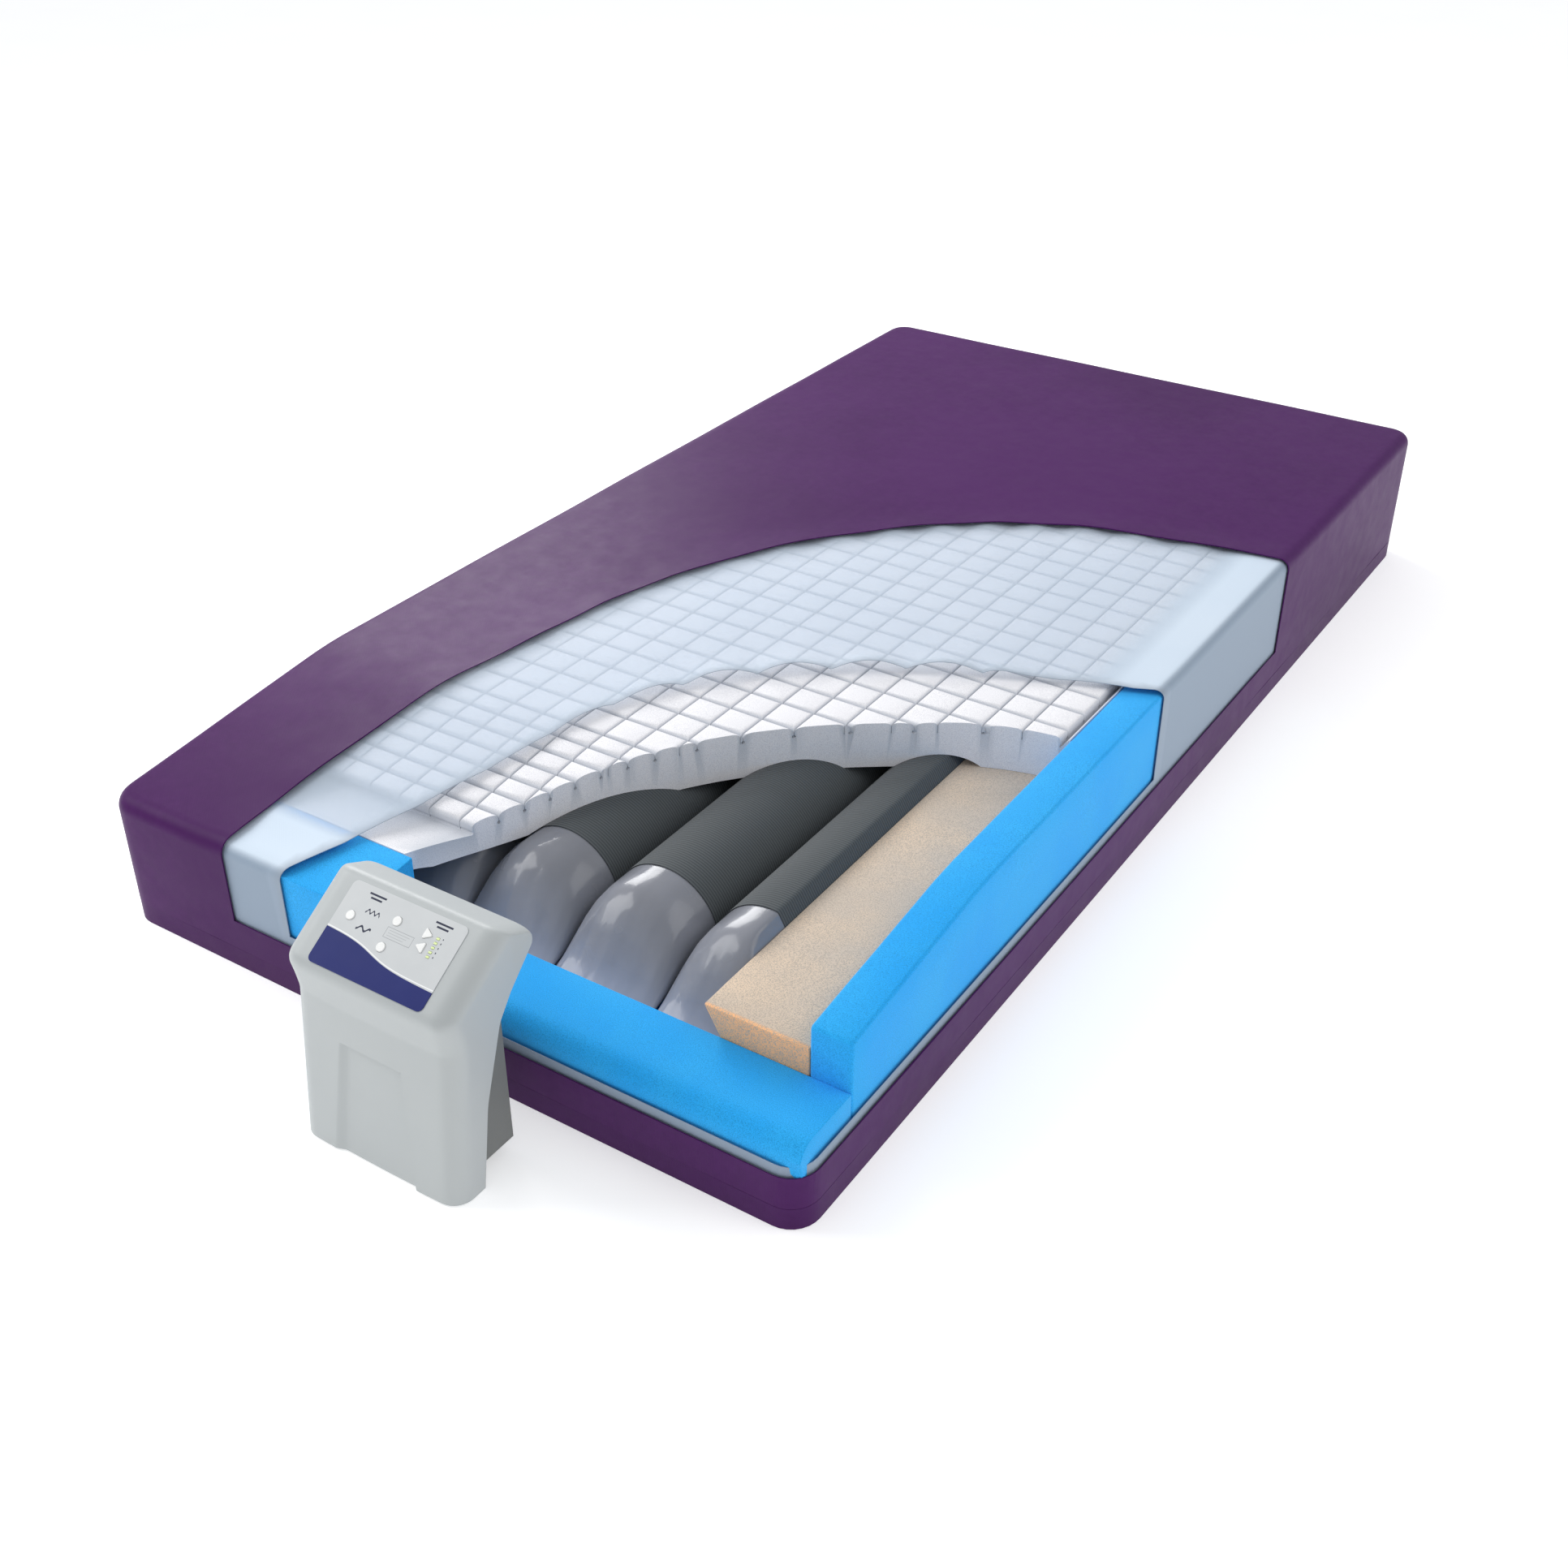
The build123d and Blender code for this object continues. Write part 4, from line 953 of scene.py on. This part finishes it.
def side_view(depth, inset, step):
    """The shell's side outline, its front edges moved in by a depth and all by an inset."""
    lines = []
    counts = []
    for number, (along, up, radius, share) in enumerate(outline):
        run = Vector(outline[(number + 1) % len(outline)][:2]) - Vector((along, up))
        way = run.normalized()
        lines.append((Vector((along, up)) + Vector((way.y, -way.x)) * (depth * share + inset), way))
        counts.append(max(1, round(run.length / step)))
    places = []
    for number, (along, up, radius, share) in enumerate(outline):
        before, in_way = lines[number - 1]
        corner, out_way = lines[number]
        turning = in_way.cross(out_way)
        if abs(turning) > 0.02:
            corner = before + in_way * ((corner - before).cross(out_way) / turning)
        moved = depth * share + inset
        bend = radius + moved
        if turning < 0:
            bend = max(radius - moved / 2, radius / 3)
        if not radius:
            places.append([corner])
            continue
        turn = in_way.angle(out_way)
        start = corner - in_way * bend * math.tan(turn / 2)
        stop = corner + out_way * bend * math.tan(turn / 2)
        parts = 2 + round(turn * 7)
        arc = [start.lerp(corner, t / parts).lerp(corner.lerp(stop, t / parts), t / parts)
               for t in range(parts + 1)]
        places.append(arc)
    filled = []
    for number, arc in enumerate(places):
        filled += arc[:-1]
        first = arc[-1]
        after = places[(number + 1) % len(places)][0]
        filled += [first.lerp(after, part / counts[number]) for part in range(counts[number])]
    return filled


def recess(x, up):
    """How deep the flared hand recess is at a place on the front."""
    right = (recess_half - x) / recess_edge
    left = fade(x, -recess_half, -0.035)
    return recess_depth * max(0.0, min(right, left, (recess_top - up) / recess_edge, 1.0))


def flare(x, up):
    """Where a column of the front's mesh goes, so that it follows the recess's slanting edges."""
    half = recess_half + recess_flare * max(0.0, recess_top - up) / 0.153
    if abs(x) < recess_half:
        return x * half / recess_half - recess_shift
    share = (abs(x) - recess_half) / (flat_half - recess_half)
    return math.copysign(half + share * (flat_half - half), x) - recess_shift * (1 - share)


def shell_form(name, inset):
    """The shell's outer form, or with an inset the space inside it: its outline drawn across."""
    ring = len(side_view(0.0, 0.0, outline_step))
    bpy.ops.object.select_all(action="DESELECT")
    bpy.ops.mesh.primitive_circle_add(vertices=ring, radius=0.1)
    form = bpy.context.object
    form.name = name
    edit(form)
    for _ in shell_columns[1:]:
        bpy.ops.mesh.extrude_region_move(TRANSFORM_OT_translate={"value": (0, 0, column_step)})
    for level in (0.0, column_step * (len(shell_columns) - 1)):
        choose("EDGE", lambda edge: all(abs(point.co.z - level) < 4e-4 for point in edge.verts))
        bpy.ops.mesh.edge_face_add()
    done()
    for number, column in enumerate(shell_columns):
        turn = math.pi / 2 * max(0, abs(number - middle_column) - flat_columns) / curve_steps
        round_left = side_round - inset
        outline_here = side_view(round_left * (1 - math.cos(turn)), inset, outline_step)
        side = math.copysign(round_left * math.sin(turn), column)
        near = outline_here[0].x
        foot_up = shell_foot + inset + hair
        far = max(place.x for place in outline_here if place.y < foot_up)
        for row, place in enumerate(outline_here):
            share = 1.0
            if row > ring / 2:
                share = max(0.0, (far - place.x) / (far - near)) * (place.y < foot_up)
            across = column + side + (flare(column, place.y) - column) * share
            bow = 0.0026 * (1 - fade(place.y, 0.215, 0.262)) * (across / unit_half) ** 2
            inwards = (recess(column, place.y) + bow) * share
            spot = (unit_x + across, unit_front + place.x + inwards, place.y)
            form.data.vertices[number * ring + row].co = spot
    edit(form)
    bpy.ops.mesh.normals_make_consistent(inside=False)
    done()
    return form


flat_half = unit_half - side_round
curve_steps = 8
steps_in = [0.0443 - 0.0443 * n / 13 for n in range(13)]
half_columns = [recess_half + (flat_half - recess_half) * n / 14 for n in range(14, -1, -1)]
half_columns += steps_in
shell_columns = [-x for x in half_columns] + [0.0] + half_columns[::-1]
shell_columns = [-flat_half] * curve_steps + shell_columns + [flat_half] * curve_steps
middle_column = len(shell_columns) // 2
flat_columns = middle_column - curve_steps
shell = shell_form("unit_front_shell", 0.0)
hollow = shell_form("hollow", shell_wall)
panel_run = 0.100
panel_rise = 0.064
panel_up = Vector((0, panel_run, panel_rise)).normalized()
panel_out = Vector((0, -panel_up.z, panel_up.y))
panel_middle = Vector((unit_x, unit_front + 0.064, 0.280))
panel_turn = math.atan2(panel_rise, panel_run)


def on_panel(u, v, out=0.0):
    return panel_middle + Vector((u, 0, 0)) + panel_up * v + panel_out * out


def plug(painted_side_shade, radius, u, v, turn=0.0):
    """A cutter through the panel."""
    bpy.ops.object.select_all(action="DESELECT")
    bpy.ops.mesh.primitive_cylinder_add(vertices=painted_side_shade, radius=radius, depth=0.02)
    cutter = bpy.context.object
    cutter.rotation_euler = (0, 0, turn)
    bpy.ops.object.transform_apply(rotation=True)
    cutter.rotation_euler = (panel_turn, 0, 0)
    cutter.location = on_panel(u, v)
    bpy.ops.object.transform_apply(location=True, rotation=True)
    return cutter


cutters = [plug(32, 0.0059, u, v) for u, v in ((-0.062, 0.012), (-0.004, 0.0265), (-0.005, -0.006))]
cutters += [plug(3, 0.0089, 0.0385, 0.027, 0.0), plug(3, 0.0089, 0.040, 0.0115, math.pi)]
for n in range(5):
    v = 0.027 - 0.0055 * n
    slot = plug(4, 0.0033, 0.0535, v, math.pi / 4)
    for point in slot.data.vertices:
        point.co -= panel_up * (point.co - on_panel(0.0535, v)).dot(panel_up) * 0.36
    cutters.append(slot)
window_low, window_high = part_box("back_shell")
cutters.append(block("window", (window_low.x + 0.011, unit_front + 0.036, 0.023),
                     (window_high.x - 0.011, window_high.y, 0.214)))
carve(shell, hollow)
work_on(cutters[0])
for cutter in cutters:
    cutter.select_set(True)
bpy.ops.object.join()
carve(shell, bpy.context.object)


def moulded(name, first, second, roughness=0.42):
    """Moulded plastic: two near tones, uneven gloss and the fine grain of a spark-etched mould."""
    plastic = Finish(name)
    return plastic.feed(base_color=plastic.mix(plastic.grain(5.0, 3.0), colour(first), colour(second)),
                        roughness=roughness - 0.06 + plastic.grain(60.0, 3.0) * 0.12,
                        normal=plastic.bump(plastic.grain(1500.0), 0.0002, 0.35))


shell.data.materials.append(moulded("shell_plastic", "b2b7b8", "bcc0c0"))
smooth(shell, 30)
settle(shell, "control_unit", "unit_plastic", "front_shell")


# Control unit, the rest: a dark box behind the front shell with its filter, mains inlet, switch
# and fold-out hooks; inside it the compressor, the rotary valve and the board on their tray.
dress(moulded("box_plastic", "6d6f6d", "787a78", 0.5), "back_shell")
dress(moulded("filter_plastic", "4b4d4c", "555756", 0.55), "filter_cap")
dress(moulded("inlet_plastic", "17181a", "222326", 0.4), "mains_inlet", "switch_frame",
      "tact_switches")
dress(moulded("rocker_gloss", "0c0c0d", "151517", 0.18), "power_rocker")
dress(moulded("hook_plastic", "4b4d4c", "5a5c5a", 0.42), "hook_left", "hook_right")
dress(moulded("rubber", "26272a", "303134", 0.75), "rubber_feet", "compressor_mounts")
dress(moulded("valve_plastic", "d3d0c5", "dedbd1", 0.4), "valve_block", "valve_rotor")
steel = Finish("zinc_plate", metallic=1.0)
dress(steel.feed(base_color=steel.mix(steel.grain(30.0, 4.0), colour("8f9294"), colour("b4b7b9")),
                 roughness=0.28 + steel.grain(200.0, 3.0, (1, 9, 1)) * 0.25),
      "chassis_tray", "valve_motor", "housing_screws", "hook_pins")
cast = Finish("cast_alloy", metallic=0.9)
dress(cast.feed(base_color=cast.mix(cast.grain(200.0, 4.0), colour("8b8d90"), colour("a4a6a9")),
                roughness=0.45 + cast.grain(500.0) * 0.2,
                normal=cast.bump(cast.grain(900.0), 0.0004, 0.5)), "compressor")
brass = Finish("pin_brass", metallic=1.0)
dress(brass.feed(base_color=brass.mix(brass.grain(300.0), colour("b99a52"), colour("cfb36b")),
                 roughness=0.2 + brass.grain(700.0) * 0.15), "inlet_pins")
resist = Finish("board_resist", roughness=0.35)
board_x, board_y, board_z = resist.axes()
tracks = (board_x * 900.0).sine().most((board_y * 1100.0 + board_z * 700.0).sine()) > 0.93
dress(resist.feed(base_color=resist.mix(tracks, colour("1f5a34"), colour("3d7c4d"))), "circuit_board")


# Label: a printed polyester sheet stuck on the panel, pale grey above and deep blue below a
# white swoosh, with plain signs beside the soft keys and five lamps.
label = Finish("label_print", specular_ior_level=0.15, coat_weight=0.05, coat_roughness=0.3)
# u and v are millimetres across and up the panel, from its middle
label_x, label_y, label_z = label.axes()
u = (label_x - panel_middle.x) * 1000.0
v = ((label_y - panel_middle.y) * panel_up.y + (label_z - panel_middle.z) * panel_up.z) * 1000.0


def line_mask(distance, half):
    """1 within half of a line and 0 outside, with a soft edge."""
    return 1.0 - distance.size().ease(half - 0.12, half + 0.12)


def between(value, low, high):
    return (value > low) * (value < high)


bend = ((u + 12.0) / 38.0)
rise = bend / (1.0 + bend * bend).join("SQRT", 1.0 + bend * bend)
band_top = rise * -10.5 - 17.5
blue = (band_top - v).ease(-0.15, 0.15)
white_line = line_mask(v - band_top - 1.6 - (u - 10.0).most(0.0) * 0.012, 0.7)
signs = line_mask(v - 24.0 - ((u + 38.8) * 0.95).sine() * 2.0, 1.1) * between(u, -47.5, -27.5)
signs = signs.most(line_mask(v - 4.0 + ((u + 38.4) * 0.55).sine() * 2.2, 1.3) * between(u, -47.5, -28.0))
for middle_u, half_length, level in ((-43.0, 12.0, 43.0), (-43.0, 8.0, 38.5), (52.0, 12.0, 43.0),
                                    (52.0, 8.0, 38.5)):
    bar = line_mask(v - level, 1.1) * ((u - middle_u).size() < half_length)
    signs = signs.most(bar)
box_edge = (((u - 8.0).size() - 18.5).most((v - 11.5).size() - 6.0)).size()
legend = (1.0 - box_edge.ease(0.1, 0.45)) * 0.55
for row in (14.5, 11.5, 8.5):
    legend = legend.most(line_mask(v - row, 0.3) * between(u, -7.0, 22.0 - (14.5 - row)) * 0.35)
dots = line_mask(u - 60.0, 0.6) * (v * 1.1424 + 0.5).sine().ease(0.3, 0.6) * between(v, 4.0, 29.0)
paper_tone = label.mix(label.grain(40.0), colour("cdd0d1"), colour("d7d9da"))
printed = label.mix(signs.most(dots), paper_tone, colour("2a2f46"))
printed = label.mix(legend, printed, colour("6a6c72"))
printed = label.mix(blue, printed, label.mix(label.grain(25.0), colour("0c1a66"), colour("11216f")))
printed = label.mix(white_line, printed, colour("f7f7f7"))
dress(label.feed(base_color=printed, roughness=0.32 + label.grain(60.0) * 0.12,
                 normal=label.bump(label.grain(2600.0), 0.00004, 0.4)), "label_panel")
dress(moulded("key_plastic", "ececea", "f4f4f2", 0.25), "alternate_button", "static_button",
      "lockout_button", "firmer_button", "softer_button")
lamp = Finish("lamp_lens", roughness=0.2, coat_weight=0.4)
dress(lamp.feed(base_color=lamp.mix(lamp.grain(400.0), colour("c9e07a"), colour("e1ee9f"))), "level_leds")
